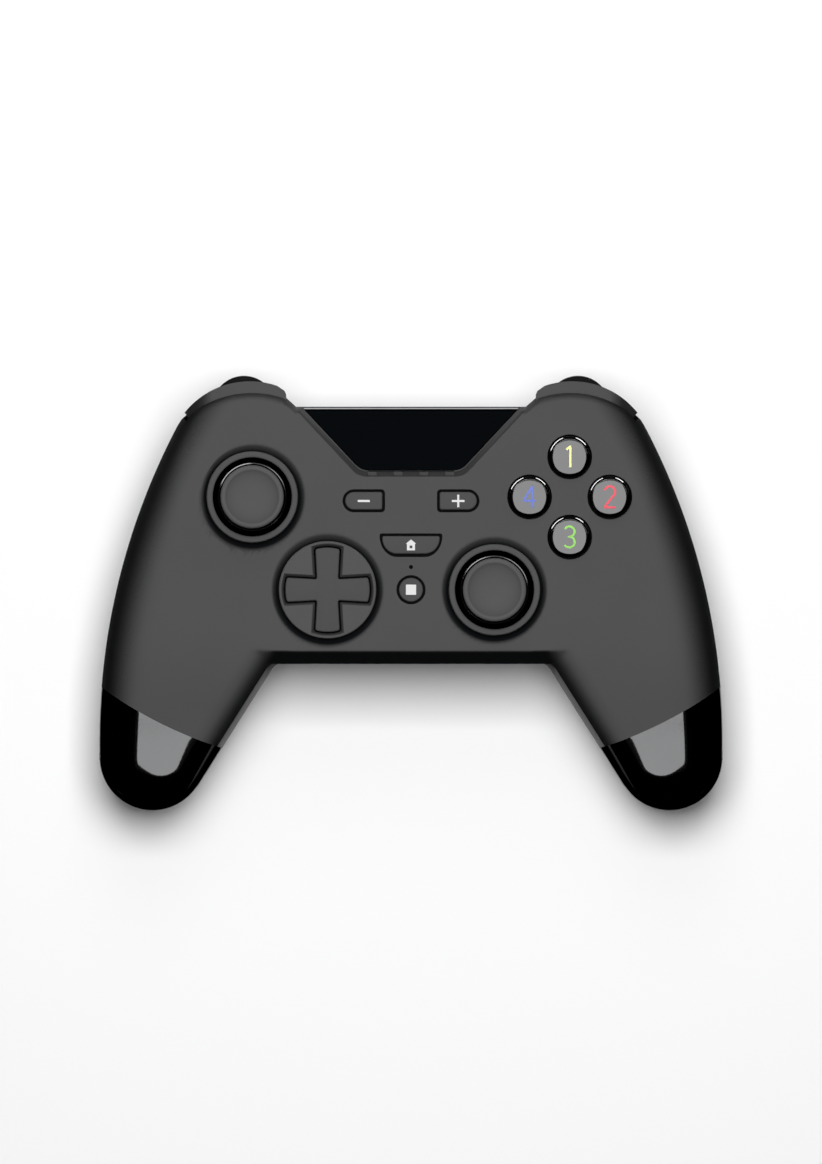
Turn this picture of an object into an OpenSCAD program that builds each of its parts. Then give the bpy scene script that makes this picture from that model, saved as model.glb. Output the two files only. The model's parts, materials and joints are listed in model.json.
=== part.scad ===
// Gamepad controller: two-part case, glossy grip ends, two thumb sticks, cross pad, four face buttons,
// four menu buttons, bumpers and triggers, with the works inside. Millimetres, resting on z = 0,
// x to the right, y towards the triggers, z up.

/* [Case] */
// Overall width across the grips
body_w = 152; // [150:0.5:154]
// Rear edge of the case behind the origin
rear_y = 45.5; // [45:0.1:46]
// Front edge between the grips, in front of the origin
front_y = 17.2; // [16.8:0.1:17.6]
// Grip tips, in front of the origin
tip_y = 53; // [52.5:0.1:53.5]
// Radius of the grip tips in plan
tip_r = 13; // [12.5:0.1:13.5]
// Radius of the long outer sides in plan
side_r = 164.5; // [160:0.5:170]
// Height of the joint between upper and lower case
part_z = 22; // [21.5:0.1:22.5]
// Height of the flat face above that joint
top_h = 18; // [17.8:0.1:18.4]
// Depth of the belly below that joint
belly_d = 12; // [11:0.1:13]
// Wall thickness of the case
wall = 2.2; // [2:0.1:2.4]
// Fall of the upper face towards the grip tips
grip_fall = 6; // [4:0.5:8]
// Edge radius of the upper case along the outer sides
side_edge = 12; // [10:0.5:12.5]
// Edge radius of the upper case along the front
front_edge = 3.2; // [2.6:0.1:4]
// Edge radius of the upper case along the rear
rear_edge = 1.8; // [1.4:0.1:2.2]
// Radius of the seam between case and glossy grip ends
seam_r = 106; // [104:0.5:108]
// Seam gap
seam_gap = 0.1; // [0.05:0.05:0.2]

/* [Layout] */
// Left stick and face buttons, sideways from the middle
outer_x = 38.6; // [38.2:0.1:39]
// Left stick and face buttons, behind the origin
outer_y = 23.45; // [23:0.05:23.8]
// Cross pad and right stick, sideways from the middle
inner_x = 20.3; // [20:0.1:20.6]
// Cross pad and right stick, behind the origin
inner_y = 0.87; // [0.5:0.01:1.2]
// Gap round each button
gap = 0.35; // [0.3:0.05:0.4]
// Running clearance of pins in bores, on the radius
run = 0.05; // [0.03:0.01:0.08]

/* [Sticks] */
// Radius of the stick cap
cap_r = 7.7; // [7.3:0.1:7.9]
// Outer radius of the ring round a stick
ring_r = 11.1; // [10.9:0.1:11.4]
// Inner radius of the ring round a stick
ring_bore = 9.6; // [9.4:0.1:9.8]
// Height of the ring above the face
ring_rise = 1.8; // [1.4:0.1:1.9]
// Radius of the dome skirt
skirt_r = 10.9; // [10.7:0.1:11]
// Height of the stick pivot above the board
pivot_h = 4; // [3.8:0.1:4.2]
// Side of the stick module
module_w = 12.8; // [12.4:0.1:12.9]
// Press travel of a stick
click = 0.5; // [0.3:0.1:0.5]

/* [Buttons] */
// Radius of the holes for the face buttons
face_hole = 5.45; // [5.2:0.05:5.6]
// Spacing of the face buttons from their centre
face_pitch = 9.75; // [9.6:0.05:10]
// Height of a face button above the face
face_rise = 2.6; // [2:0.1:3]
// Radius of the cross pad ring
pad_r = 11.87; // [11.6:0.01:12]
// Height of the cross pad ring above the face
pad_rise = 1.2; // [0.8:0.1:1.4]
// Half width of a cross arm at its root
arm_w = 2.6; // [2.4:0.1:2.8]
// Reach of a cross arm
arm_l = 10.3; // [10:0.1:10.5]
// Length of the minus and plus openings
menu_l = 10.34; // [10:0.01:10.6]
// Width of the minus and plus openings
menu_w = 5.6; // [5.2:0.1:6]
// Half length of the home opening
home_a = 7.65; // [7.3:0.05:7.8]
// Width of the home opening
home_b = 5.74; // [5.4:0.02:6]
// Radius of the capture opening
shot_hole = 3.55; // [3.3:0.05:3.7]

/* [Shoulders] */
// Radius of the bumper outside in plan
bumper_r = 20.5; // [20.3:0.1:20.6]
// Height of the bumper underside
bumper_z = 27.6; // [27.5:0.1:28]
// Height of a bumper
bumper_h = 8.9; // [8:0.1:8.9]
// Radius of the trigger in plan
trigger_r = 7.8; // [7.6:0.1:7.8]
// Height of the trigger axle
axle_z = 24; // [23.8:0.1:24.1]
// Radius of the trigger axle
axle_r = 1.25; // [1.1:0.05:1.3]

/* [Works] */
// Height of the board top
board_z = 29; // [28.8:0.1:29.2]
// Board thickness
board_t = 1.6; // [1.2:0.1:1.8]
// Battery length, width and height
battery = [44, 24, 7.5];
// Radius of a rumble motor
motor_r = 6; // [5.6:0.1:6.2]
// Radius of a rumble weight
weight_r = 7.5; // [7:0.1:7.8]

/* [Hidden] */
$fn = 64;
half_w = body_w / 2;
face_z = part_z + top_h;
roof_z = face_z - wall;
// Shift of the shoulders and the outer controls with the width
give = half_w / 2 - 38;
stick_x = outer_x + give;
pad_x = inner_x + give / 2;
notch_x = 28 + give;
shoulder_r = 24.8;
shoulder_c = [38.8 + give, 24.5];
shoulder_y = shoulder_c[1] + shoulder_r;
side_c = [half_w - side_r, -36];
tip_c = [half_w - tip_r, tip_r - tip_y];
grip_n = [0.845, 0.5348];
grip_p = tip_c - (tip_r + 0.104) * grip_n;
seam_c = [half_w - 62.4, 63.2];
pivot_z = board_z + pivot_h;
ring_z = face_z + ring_rise;
socket_r = skirt_r + 0.4;
cap_z = pivot_z + 13.2;
pad_z = face_z + pad_rise;
pad_pivot = face_z - 2;
flange_z = roof_z - 1.5;
board_u = board_z - board_t;
axle_y = shoulder_y - 7.3;
pin = [shoulder_c[0] - 6.8, shoulder_y - 5.9];
bumper_c = [shoulder_c[0] + 0.4, shoulder_y + 2.3 - bumper_r];
trigger_c = [shoulder_c[0] + 1.9, shoulder_y + 3.7 - trigger_r];
trigger_x0 = shoulder_c[0] - 3.6;
trigger_x1 = trigger_c[0] + trigger_r;
pillar_r = 1.6;
bracket_x = shoulder_c[0] - 5.4;
bracket_z = part_z - belly_d + wall + 0.4;
shell_screws = [[half_w - 16, 12, 15], [half_w - 31.5, -21, 10]];
board_posts = [[48.5 + give, 9], [26.5 + give, 34.5], [9, -9]];
motor_x = tip_c[0] - 4;
motor_z = 17;
motor_y = tip_c[1] + 11;
drop_d = part_z - belly_d + 0.6;

// Smooth step from 0 to 1
function smooth(t) = let (c = min(max(t, 0), 1)) c * c * (3 - 2 * c);
// Share of height lost at distance d from an edge rounded over r, with power p
function loss(d, r, p) = let (u = 1 - min(max(d / r, 0), 1)) 1 - pow(1 - pow(u, p), 1 / p);
// Distance of a point from a line segment
function seg_d(p, a, b) = let (t = min(max(((p - a) * (b - a)) / ((b - a) * (b - a)), 0), 1))
  norm(p - a - (b - a) * t);
function root(v) = sqrt(max(v, 0));

// Rear and front edge of the case outline at x, moved inwards by w
function y_rear(x, w) =
  let (line = rear_y - w,
    slant = rear_y + 0.893 * (x - notch_x) - 1.34 * w,
    arc = shoulder_c[1] + root(pow(shoulder_r - w, 2) - pow(x - shoulder_c[0], 2)),
    side = side_c[1] + root(pow(side_r - w, 2) - pow(x - side_c[0], 2)))
  slant < line ? line : x < shoulder_c[0] + 6.2 ? min(slant, arc) : x < shoulder_c[0] + 21.2 ? min(arc, side) : side;
function y_front(x, w) =
  x > tip_c[0] - (tip_r - w) * grip_n[0]
    ? tip_c[1] - root(pow(tip_r - w, 2) - pow(x - tip_c[0], 2))
    : min(w - front_y, grip_p[1] - (grip_n[0] * (x - grip_p[0]) - w) / grip_n[1]);

// Distances inside each edge
function d_side(p) = side_r - norm(p - side_c);
function d_grip(p) = (p - grip_p) * grip_n;
function d_rear(p) = p[0] < notch_x ? rear_y - p[1]
  : p[0] < notch_x + 2.8 ? 0.746 * (y_rear(p[0], 0) - p[1]) : shoulder_r - norm(p - shoulder_c);
// Height lost at point p, with edge radii e = [side, grip, front, rear] and inset w
function lost(p, w, e) =
  let (v = p - tip_c,
    tipped = v[1] < -0.026 * v[0] && v * [-grip_n[1], grip_n[0]] < 0,
    k = tipped ? min(max((-v[0] / max(norm(v), 0.01) + 1) / 1.845, 0), 1) : 0,
    r = function (q) max(q - w, 0.8),
    f_tip = loss(tip_r - w - norm(v), r(e[0] + (e[1] - e[0]) * k), 2),
    f_out = loss(d_side(p) - w, r(e[0] + (4 - e[0]) * smooth((p[1] - 8) / 32)), 2),
    f_grip = loss(d_grip(p) - w, r(e[1]), 2),
    f_front = loss(p[1] + front_y - w, r(e[2]), 3),
    f_rear = p[1] > 20 && p[0] < shoulder_c[0] + 23.2 ? loss(d_rear(p) - w, r(e[3]), 2.5) : 0,
    q = 2.5)
  tipped ? f_tip : min(1, pow(pow(f_out, q) + pow(f_grip * f_front, q) + pow(f_rear, q), 1 / q));

// Height of the upper face above the joint and depth of the belly below it
function rise(p) = top_h - grip_fall * smooth((-12 - p[1]) / 38) - 1.5 * pow(max(p[0] - 30, 0) / (half_w - 30), 2);
function hump(p) = smooth((38 + give - p[0]) / 12) * smooth((p[1] + 4) / 12) * smooth((46 - p[1]) / 12);
function bulge(p) = smooth((27 - seg_d(p, tip_c + [-5, 16], tip_c + [-1, 4])) / 20);
function depth(p) = belly_d + drop_d * (1 - (1 - hump(p)) * (1 - bulge(p)));
top_e = [side_edge, 8, front_edge, rear_edge];
low_e = [14, 10, 8, 6];
function skin(x, y, up, w) = let (p = [abs(x), y])
  up ? part_z + (rise(p) - w) * (1 - lost(p, w, top_e)) : part_z - (depth(p) - w) * (1 - lost(p, w, low_e));

// Rib positions from the middle to the outer side
function ribs(w) = let (s = (half_w - w) / half_w) s * concat(
  [for (k = [0:4]) notch_x * k / 5], [notch_x, notch_x + 2.8],
  [for (k = [1:7]) notch_x + 2.8 + (half_w - 22.8 - notch_x) * k / 8],
  [for (k = [0:10]) half_w - 20 + 20 * sin(90 * k / 11)]);
function spread(j, m) = (1 - cos(180 * j / (m - 1))) / 2;
// Points of one rib, from the front edge to the rear edge; the ends lie on the joint
function rib(x, m, up, w, over) =
  let (f = y_front(abs(x), w), r = y_rear(abs(x), w), ze = part_z + (up ? -over : over))
  [for (j = [0:m - 1]) let (y = f + (r - f) * spread(j, m))
    [x, y, j == 0 || j == m - 1 ? ze : skin(x, y, up, w)]];

// Closed half of the case: skin above or below the joint, closed flat at the joint
module half_case(up, m, w, over) {
  xs = ribs(w);
  n = len(xs);
  all = concat([for (i = [n - 1:-1:1]) -xs[i]], xs);
  c = len(all);
  ze = part_z + (up ? -over : over);
  ya = (side_c[1] + tip_c[1]) / 2;
  pts = concat([for (x = all) each rib(x, m, up, w, over)], [[w - half_w, ya, ze], [half_w - w, ya, ze]]);
  mesh = concat(
    [for (i = [0:c - 2], j = [0:m - 2]) each let (a = i * m + j, b = a + m)
      i < n - 1 ? [[a, b, a + 1], [b, b + 1, a + 1]] : [[a, b, b + 1], [a, b + 1, a + 1]]],
    [for (i = [0:c - 2]) let (a = i * m, b = a + m) [a, a + m - 1, b + m - 1, b]],
    [for (j = [0:m - 2]) [c * m, j, j + 1]],
    [for (j = [0:m - 2]) let (a = (c - 1) * m + j) [a, c * m + 1, a + 1]],
    [[c * m, m - 1, 0], [c * m + 1, (c - 1) * m, c * m - 1]]);
  polyhedron(pts, [for (f = mesh) up ? [for (i = [len(f) - 1:-1:0]) f[i]] : f]);
}

// Closed grip end: both skins from a rib inside the seam to the outer side
module grip_body(m, w) {
  xs = [for (x = ribs(w)) if (x > half_w - 36 - 2 * w) x];
  c = len(xs);
  ring = 2 * m - 2;
  ya = (side_c[1] + tip_c[1]) / 2;
  loops = [for (x = xs) let (t = rib(x, m, true, w, 0), b = rib(x, m, false, w, 0))
    concat(t, [for (j = [m - 2:-1:1]) b[j]])];
  pts = concat([for (l = loops) each l], [[half_w - w, ya, part_z]]);
  polyhedron(pts, concat(
    [for (i = [0:c - 2], j = [0:ring - 1]) each let (a = i * ring + j, k = i * ring + (j + 1) % ring)
      [[a, k + ring, a + ring], [a, k, k + ring]]],
    [for (j = [0:ring - 1]) [(c - 1) * ring + j, (c - 1) * ring + (j + 1) % ring, c * ring]],
    [for (j = [0:m - 2]) each let (b0 = j == 0 ? 0 : ring - j, b1 = j == m - 2 ? m - 1 : ring - j - 1)
      j == 0 ? [[0, b1, 1]] : j == m - 2 ? [[j, b0, m - 1]] : [[j, b1, j + 1], [j, b0, b1]]]));
}

// Everything on the tip side of the seam, for the right grip
module seam_block(r) {
  difference() {
    translate([half_w - 40, -70, -10]) cube([50, 60, 70]);
    translate([seam_c[0], seam_c[1], -20]) cylinder(h = 90, r = r, $fn = 180);
  }
}
module both() {
  children();
  mirror([1, 0, 0]) children();
}
module below() {
  translate([-100, -80, -20]) cube([200, 160, 20]);
}

// Plan of the glossy panel, grown by g
module panel_plan(g) {
  s = g * 1.365;
  c = [notch_x - 15.9 + s - g * 0.94, 30 - g];
  corner = bend(c - [1.5, 0], c, c + [1.05, 1.12], 5);
  side = [[notch_x - 1.4 + s, rear_y], [notch_x + 2 + s, rear_y + 3.6]];
  right = concat(corner, side);
  polygon(concat(right, [for (k = [len(right) - 1:-1:0]) [-right[k][0], right[k][1]]]));
}
// Sloping opening edge round the panel
module panel_bevel() {
  hull() {
    translate([0, 0, face_z - 1.4]) linear_extrude(0.01) panel_plan(0.15);
    translate([0, 0, face_z + 0.1]) linear_extrude(0.01) panel_plan(1.75);
  }
}
// Four light windows in the front slope of the panel opening
module light_prongs(g, z0, z1) {
  for (x = [-9.45, -3.15, 3.15, 9.45])
    translate([x - 1.1 - g, 28.65 - g, z0]) cube([2.2 + 2 * g, 0.9 + 2 * g, z1 - z0]);
}

// Outlines of the menu buttons, grown by g
module minus_plan(g) {
  w = menu_w / 2 + g;
  translate([-11.49, 22.5]) {
    translate([w - menu_l / 2 - g, 0]) circle(r = w);
    translate([w - menu_l / 2 - g, -w]) square([menu_l + 2 * g - w, 2 * w]);
  }
}
module home_plan(g) {
  a = home_a + g;
  b = home_b + 2 * g;
  translate([0, 14.57 + g]) polygon([for (k = [0:24]) let (t = 180 * k / 24)
    [a * sign(cos(t)) * pow(abs(cos(t)), 0.9), -b * pow(abs(sin(t)), 0.9)]]);
}
// Cross outline: four arms with flared sides and round ends
module cross_plan(w, l) {
  intersection() {
    circle(r = l);
    union() {
      for (a = [0, 90, 180, 270])
        rotate(a) polygon([[0, -w + 0.1], [w, -w], [l + 1, -w - 0.45], [l + 1, w + 0.45], [w, w], [0, w - 0.1]]);
      square([2 * w, 2 * w], center = true);
    }
  }
}
module face_at(k) {
  a = 90 - 90 * k;
  translate([stick_x + face_pitch * cos(a), outer_y + face_pitch * sin(a), 0]) children();
}
module bumper_plan() {
  difference() {
    intersection() {
      translate(bumper_c) circle(r = bumper_r);
      translate(pin) polygon([[-1.6, -3.4], [-1.6, 5], [-1.2, 5.9], [2.2, 8.2], [8, 14.6], [30, 14.6],
        shoulder_c - pin + 40 * [cos(50), sin(50)], shoulder_c - pin + 10 * [cos(50), sin(50)]]);
    }
    translate(shoulder_c) circle(r = shoulder_r - 5);
  }
}

// Room in the walls for the ears of the trigger bracket and for its pin pillar
module bracket_pocket() {
  tall = bumper_z - axle_z + 3.3;
  translate([bracket_x + 15.3, axle_y - 0.4, axle_z - 3.3]) cube([2, 3.2, tall]);
  translate([bracket_x - run, axle_y - 0.4, axle_z - 3.3]) cube([1.4 + 2 * run, 2.8 + run, tall]);
  translate([pin[0], pin[1], axle_z - 3.3]) {
    cylinder(h = tall, r = pillar_r + run);
    translate([0, -0.7 - run, 0]) cube([bracket_x - pin[0] + 0.5, 1.4 + 2 * run, tall]);
  }
}

// Upper case
module top_shell() color([0.2, 0.2, 0.21]) difference() {
  half_case(true, 25, 0, 0);
  difference() {
    half_case(true, 17, wall, 1);
    both() for (s = shell_screws) translate([s[0], s[1], part_z]) cylinder(h = 30, r = 3);
    both() translate([pin[0], pin[1], bumper_z + bumper_h + 0.3]) cylinder(h = 12, r = 2.3);
    translate([0, 0, roof_z - 2.2]) linear_extrude(8) panel_plan(1.6);
  }
  both() seam_block(seam_r - seam_gap / 2);
  both() for (s = shell_screws) translate([s[0], s[1], part_z - 1]) cylinder(h = 10.5, r = 1.25);
  both() translate([pin[0], pin[1], part_z]) cylinder(h = top_h - 1, r = 1 + run);
  // Panel opening with its sloping edge and the light windows
  translate([0, 0, part_z - 1]) linear_extrude(40) panel_plan(0.15);
  panel_bevel();
  light_prongs(0.1, 30, 45);
  // Stick, cross pad, button and light openings
  translate([-stick_x, outer_y, 30]) cylinder(h = 20, r = ring_r + 0.1);
  translate([pad_x, inner_y, 30]) cylinder(h = 20, r = ring_r + 0.1);
  translate([-pad_x, inner_y, 30]) cylinder(h = 20, r = pad_r + 0.1);
  for (k = [0:3]) face_at(k) translate([0, 0, 30]) cylinder(h = 20, r = face_hole);
  both() translate([0, 0, 30]) linear_extrude(20) minus_plan(0);
  translate([0, 0, 30]) linear_extrude(20) home_plan(0);
  translate([0, inner_y, 30]) cylinder(h = 20, r = shot_hole);
  translate([0, 6.4, 30]) cylinder(h = 20, r = 0.5);
  // Openings for bumpers and triggers
  both() {
    translate([0, 0, bumper_z - 0.3]) linear_extrude(bumper_h + 0.6) difference() {
      polygon([pin + [-1.8, -1.4], pin + [-1.8, 16], pin + [34, 16], shoulder_c + 34 * [cos(47.5), sin(47.5)],
        shoulder_c + 15 * [cos(47.5), sin(47.5)], shoulder_c + 15 * [cos(100), sin(100)]]);
      translate(shoulder_c) circle(r = shoulder_r - 6.6);
    }
    translate([pin[0], pin[1], bumper_z - 0.3]) cylinder(h = bumper_h + 0.6, r = 2.5);
    translate([trigger_x0 - 0.4, axle_y - 0.4, part_z - 1])
      cube([trigger_x1 - trigger_x0 + 0.8, 16, bumper_z - part_z + 1]);
    bracket_pocket();
  }
}

// Lower case
module bottom_shell() color([0.2, 0.2, 0.21]) {
  difference() {
    half_case(false, 33, 0, 0);
    difference() {
      half_case(false, 25, wall, 1);
      both() for (s = shell_screws) translate([s[0], s[1], -5]) cylinder(h = part_z + 5, r = 4.2);
      both() for (p = board_posts) translate([p[0], p[1], -5]) cylinder(h = part_z + 9, r = 2.4);
      both() for (y = [-26, -16]) difference() {
        translate([motor_x - 7, y - 1, -5]) cube([14, 2, motor_z + 5]);
        translate([motor_x, y - 2, motor_z]) rotate([-90, 0, 0]) cylinder(h = 4, r = motor_r + 0.1);
      }
    }
    below();
    both() seam_block(seam_r - seam_gap / 2);
    both() for (s = shell_screws) {
      translate([s[0], s[1], -5]) cylinder(h = s[2] + 5, r = 2.7);
      translate([s[0], s[1], 0]) cylinder(h = 40, r = 1.35);
    }
    both() for (p = board_posts) translate([p[0], p[1], part_z - 6]) cylinder(h = 20, r = 0.95);
    both() translate([trigger_x0 - 0.4, axle_y - 0.4, -5]) cube([trigger_x1 - trigger_x0 + 0.8, 16, 40]);
    both() bracket_pocket();
  }
  // Upper ends of the board posts
  both() for (p = board_posts) translate([p[0], p[1], part_z - 4]) difference() {
    cylinder(h = board_u - part_z + 4, r = 2.2);
    translate([0, 0, -1]) cylinder(h = 20, r = 0.95);
  }
}

// Glossy grip ends
module grip_cap() difference() {
  grip_body(21, 0);
  grip_body(13, wall);
  translate([seam_c[0], seam_c[1], -20]) cylinder(h = 90, r = seam_r + seam_gap / 2, $fn = 180);
  below();
}
module left_grip_cap() color([0.03, 0.03, 0.03]) mirror([1, 0, 0]) grip_cap();
module right_grip_cap() color([0.03, 0.03, 0.03]) grip_cap();

// Glossy panel over the rear edge, with the opening for the charging lead
module rear_panel() color([0.02, 0.02, 0.02]) difference() {
  union() {
    intersection() {
      translate([0, 0, part_z]) linear_extrude(30) panel_plan(0);
      rotate([90, 0, 90]) translate([0, 0, -40]) linear_extrude(80)
        polygon([[29, face_z - 1.3], [44.4, face_z - 2.9], [rear_y - 0.1, face_z - 3.9], [rear_y - 0.1, part_z + 0.1],
          [rear_y - 2.2, part_z + 0.1], [rear_y - 2.2, face_z - 5.9], [29, face_z - 5.9]]);
    }
    intersection() {
      translate([0, 0, face_z - 5.9]) linear_extrude(1.2) panel_plan(1.2);
      both() translate([11.6, 29, face_z - 7]) cube([20, 13.6, 5]);
    }
  }
  translate([-3.1, rear_y + 1, board_z + 1.63]) rotate([90, 0, 0]) cylinder(h = 6, r = 1.85);
  translate([3.1, rear_y + 1, board_z + 1.63]) rotate([90, 0, 0]) cylinder(h = 6, r = 1.85);
  translate([-3.1, rear_y - 5, board_z - 0.22]) cube([6.2, 6, 3.7]);
}

// Light guide with four windows, and the single status light pipe
module player_light_guide() color([0.75, 0.78, 0.75]) intersection() {
  union() {
    light_prongs(0, board_z + 0.6, 45);
    translate([-11, 28.2, roof_z - 3.8]) cube([22, 1.7, 1.4]);
  }
  rotate([90, 0, 90]) translate([0, 0, -20]) linear_extrude(40)
    polygon([[28, 29], [30, 29], [30, face_z - 1.45], [28.25, face_z + 0.1], [28, face_z]]);
}
module status_light_pipe() color([0.75, 0.78, 0.75]) translate([0, 6.4, 0]) {
  translate([0, 0, board_z + 0.6]) cylinder(h = face_z - board_z - 0.7, r = 0.42);
  translate([0, 0, roof_z - 1.4]) cylinder(h = 1.3, r = 1.1);
}

// Ring inserts round the sticks, with a ball socket for the dome skirt
module stick_bezel() color([0.25, 0.25, 0.26]) difference() {
  union() {
    translate([0, 0, flange_z]) cylinder(h = ring_z - flange_z, r = ring_r);
    translate([0, 0, flange_z]) cylinder(h = 0.9, r = 13.2);
  }
  translate([0, 0, flange_z - 1]) cylinder(h = 30, r = ring_bore);
  translate([0, 0, pivot_z]) sphere(r = socket_r);
}
module left_stick_bezel() translate([-stick_x, outer_y, 0]) stick_bezel();
module right_stick_bezel() translate([pad_x, inner_y, 0]) stick_bezel();

// Ring insert with the cross opening
module dpad_bezel() color([0.23, 0.23, 0.24]) translate([-pad_x, inner_y, 0]) difference() {
  union() {
    translate([0, 0, flange_z]) cylinder(h = pad_z - flange_z, r = pad_r);
    translate([0, 0, flange_z]) cylinder(h = 1.4, r = 13.4);
  }
  translate([0, 0, flange_z - 1]) cylinder(h = pad_z - flange_z - 1.6, r = 11.3);
  translate([0, 0, flange_z]) linear_extrude(20) cross_plan(arm_w + gap, arm_l + gap);
}

// Screws
module case_screws() color([0.6, 0.6, 0.62]) both() for (s = shell_screws) translate([s[0], s[1], s[2]]) {
  translate([0, 0, -1.8]) cylinder(h = 1.8, r = 2.4);
  cylinder(h = 16, r = 1.2);
}
module board_screws() color([0.6, 0.6, 0.62]) both() for (p = board_posts) translate([p[0], p[1], board_z]) {
  cylinder(h = 1.3, r = 1.9);
  translate([0, 0, -8]) cylinder(h = 8, r = 0.9);
}

// Circuit board with the sockets for the battery and the motors
module main_board() color([0.05, 0.22, 0.14]) difference() {
  union() {
    side = [[12, rear_y - 2.9], [12, axle_y - 3.8], [50 + give, axle_y - 3.8], [53.4 + give, axle_y - 12],
      [53.4 + give, 4], [47 + give, -6], [31 + give, -12.5]];
    translate([0, 0, board_u]) linear_extrude(board_t)
      polygon(concat(side, [for (k = [len(side) - 1:-1:0]) [-side[k][0], side[k][1]]]));
    translate([27, 19, board_u - 3]) cube([6, 4, 3.1]);
    both() translate([44 + give, -1, board_u - 2]) cube([4, 3, 2.1]);
    translate([-6, 28, board_u - 1.2]) cube([9, 9, 1.3]);
  }
  both() for (p = board_posts) translate([p[0], p[1], 10]) cylinder(h = 30, r = 1.1);
}

// Battery and its lead
module battery_cell() color([0.55, 0.56, 0.6]) translate([-battery[0] / 2, 9, 1.8]) cube(battery);
module tube(path, r, sides) {
  n = len(path);
  dir = [for (i = [0:n - 1]) let (d = path[min(i + 1, n - 1)] - path[max(i - 1, 0)]) d / norm(d)];
  rings = [for (i = [0:n - 1]) let (d = dir[i],
      u0 = cross(d, abs(d[1]) > 0.9 ? [1, 0, 0] : [0, 1, 0]), u = u0 / norm(u0), v = cross(d, u))
    for (k = [0:sides - 1]) path[i] + r * (u * cos(360 * k / sides) + v * sin(360 * k / sides))];
  polyhedron(rings, concat(
    [for (i = [0:n - 2], k = [0:sides - 1]) each let (a = i * sides + k, b = i * sides + (k + 1) % sides)
      [[a, a + sides, b + sides], [a, b + sides, b]]],
    [for (k = [1:sides - 2]) [0, k, k + 1]],
    [for (k = [1:sides - 2]) let (o = (n - 1) * sides) [o, o + k + 1, o + k]]));
}
function bend(a, b, c, n) = [for (k = [0:n]) let (t = k / n) (1 - t) * (1 - t) * a + 2 * t * (1 - t) * b + t * t * c];
module battery_lead() color([0.5, 0.05, 0.05])
  tube(bend([22.1, 21, 6], [30, 21, 6], [30, 21, board_u - 3.1], 8), 0.8, 8);
module motor_leads() color([0.1, 0.1, 0.4]) both()
  tube(bend([motor_x, motor_y + 16.8, motor_z + 2], [46 + give, -8, motor_z + 2], [46 + give, 0.5, board_u - 2.7], 8),
    0.6, 8);

// Socket for the charging lead
module usb_socket() color([0.7, 0.7, 0.72]) translate([0, 0, board_z + 1.63]) difference() {
  union() {
    for (s = [-1, 1]) translate([s * 2.85, 37, 0]) rotate([-90, 0, 0]) cylinder(h = 8, r = 1.62);
    translate([-2.85, 37, -1.62]) cube([5.7, 8, 3.24]);
  }
  difference() {
    union() {
      for (s = [-1, 1]) translate([s * 2.85, 39, 0]) rotate([-90, 0, 0]) cylinder(h = 8, r = 1.3);
      translate([-2.85, 39, -1.3]) cube([5.7, 8, 2.6]);
    }
    translate([-3.3, 38, -0.35]) cube([6.6, 5.8, 0.7]);
  }
}

// Stick works, drawn round the pivot point
module stick_housing() color([0.5, 0.5, 0.52]) difference() {
  h = module_w / 2;
  union() {
    translate([-h, -h, -pivot_h]) cube([module_w, module_w, pivot_h + 2]);
    translate([-h - 2.2, -3.4, -pivot_h]) cube([2.3, 6.8, pivot_h + 2]);
    translate([-3.4, -h - 2.2, -pivot_h]) cube([6.8, 2.3, pivot_h + 2]);
  }
  translate([1 - h, 1 - h, 0.8 - pivot_h]) cube([module_w - 2, module_w - 2, 20]);
  translate([0, 0, -10]) cylinder(h = 20, r = 4);
  translate([-h - 0.2, 0, 0]) rotate([0, 90, 0]) cylinder(h = module_w + 1, r = 1 + run);
  translate([0, h + 1, 0]) rotate([90, 0, 0]) cylinder(h = module_w + 1.2, r = 1 + run);
}
module stick_rocker() color([0.12, 0.12, 0.13]) difference() {
  union() {
    translate([-3.8, -2.6, -1.5]) cube([7.6, 5.2, 3]);
    translate([-module_w / 2 + 0.1, 0, 0]) rotate([0, 90, 0]) cylinder(h = 3, r = 1);
    translate([module_w / 2 - 3.1, 0, 0]) rotate([0, 90, 0]) cylinder(h = 3, r = 1);
  }
  translate([-2.9, -1.75, -3]) cube([5.8, 3.5, 6]);
  translate([0, 4, 0]) rotate([90, 0, 0]) cylinder(h = 8, r = 0.5 + run);
}
module stick_collar() color([0.6, 0.6, 0.62]) difference() {
  union() {
    translate([0, 0, -1.2]) cylinder(h = 3.1, r = 1.4);
    translate([0, 2.55, 0]) rotate([90, 0, 0]) cylinder(h = 5.1, r = 0.5);
  }
  translate([0, 0, -2]) cylinder(h = 6, r = 0.8 + run);
}
module stick_bail() color([0.15, 0.15, 0.16]) difference() {
  union() {
    rotate([90, 0, 90]) translate([0, 0, -2.3]) difference() {
      cylinder(h = 4.6, r = 5);
      translate([0, 0, -1]) cylinder(h = 8, r = 4.2);
      translate([-8, -16, -1]) cube([16, 16, 8]);
    }
    for (s = [-1, 1]) translate([0, s * (module_w / 2 - 1), 0]) rotate([90, 0, 0])
      translate([0, 0, -0.9]) cylinder(h = 1.8, r = 1);
  }
  translate([-1.6, -3.4, 2]) cube([3.2, 6.8, 6]);
}
module stick_lever() color([0.6, 0.6, 0.62]) {
  translate([0, 0, -1.9]) cylinder(h = 0.5, r = 1.2);
  translate([0, 0, -1.9]) cylinder(h = 5, r = 0.8);
  translate([0, 0, 2 + click]) cylinder(h = 12.5 - click, r = 1.3);
}
module stick_skirt() color([0.02, 0.02, 0.02]) difference() {
  sphere(r = skirt_r);
  sphere(r = skirt_r - 1);
  translate([-20, -20, -40]) cube([40, 40, 40 + skirt_r * cos(80)]);
  cylinder(h = 30, r = 1.35);
}
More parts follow.
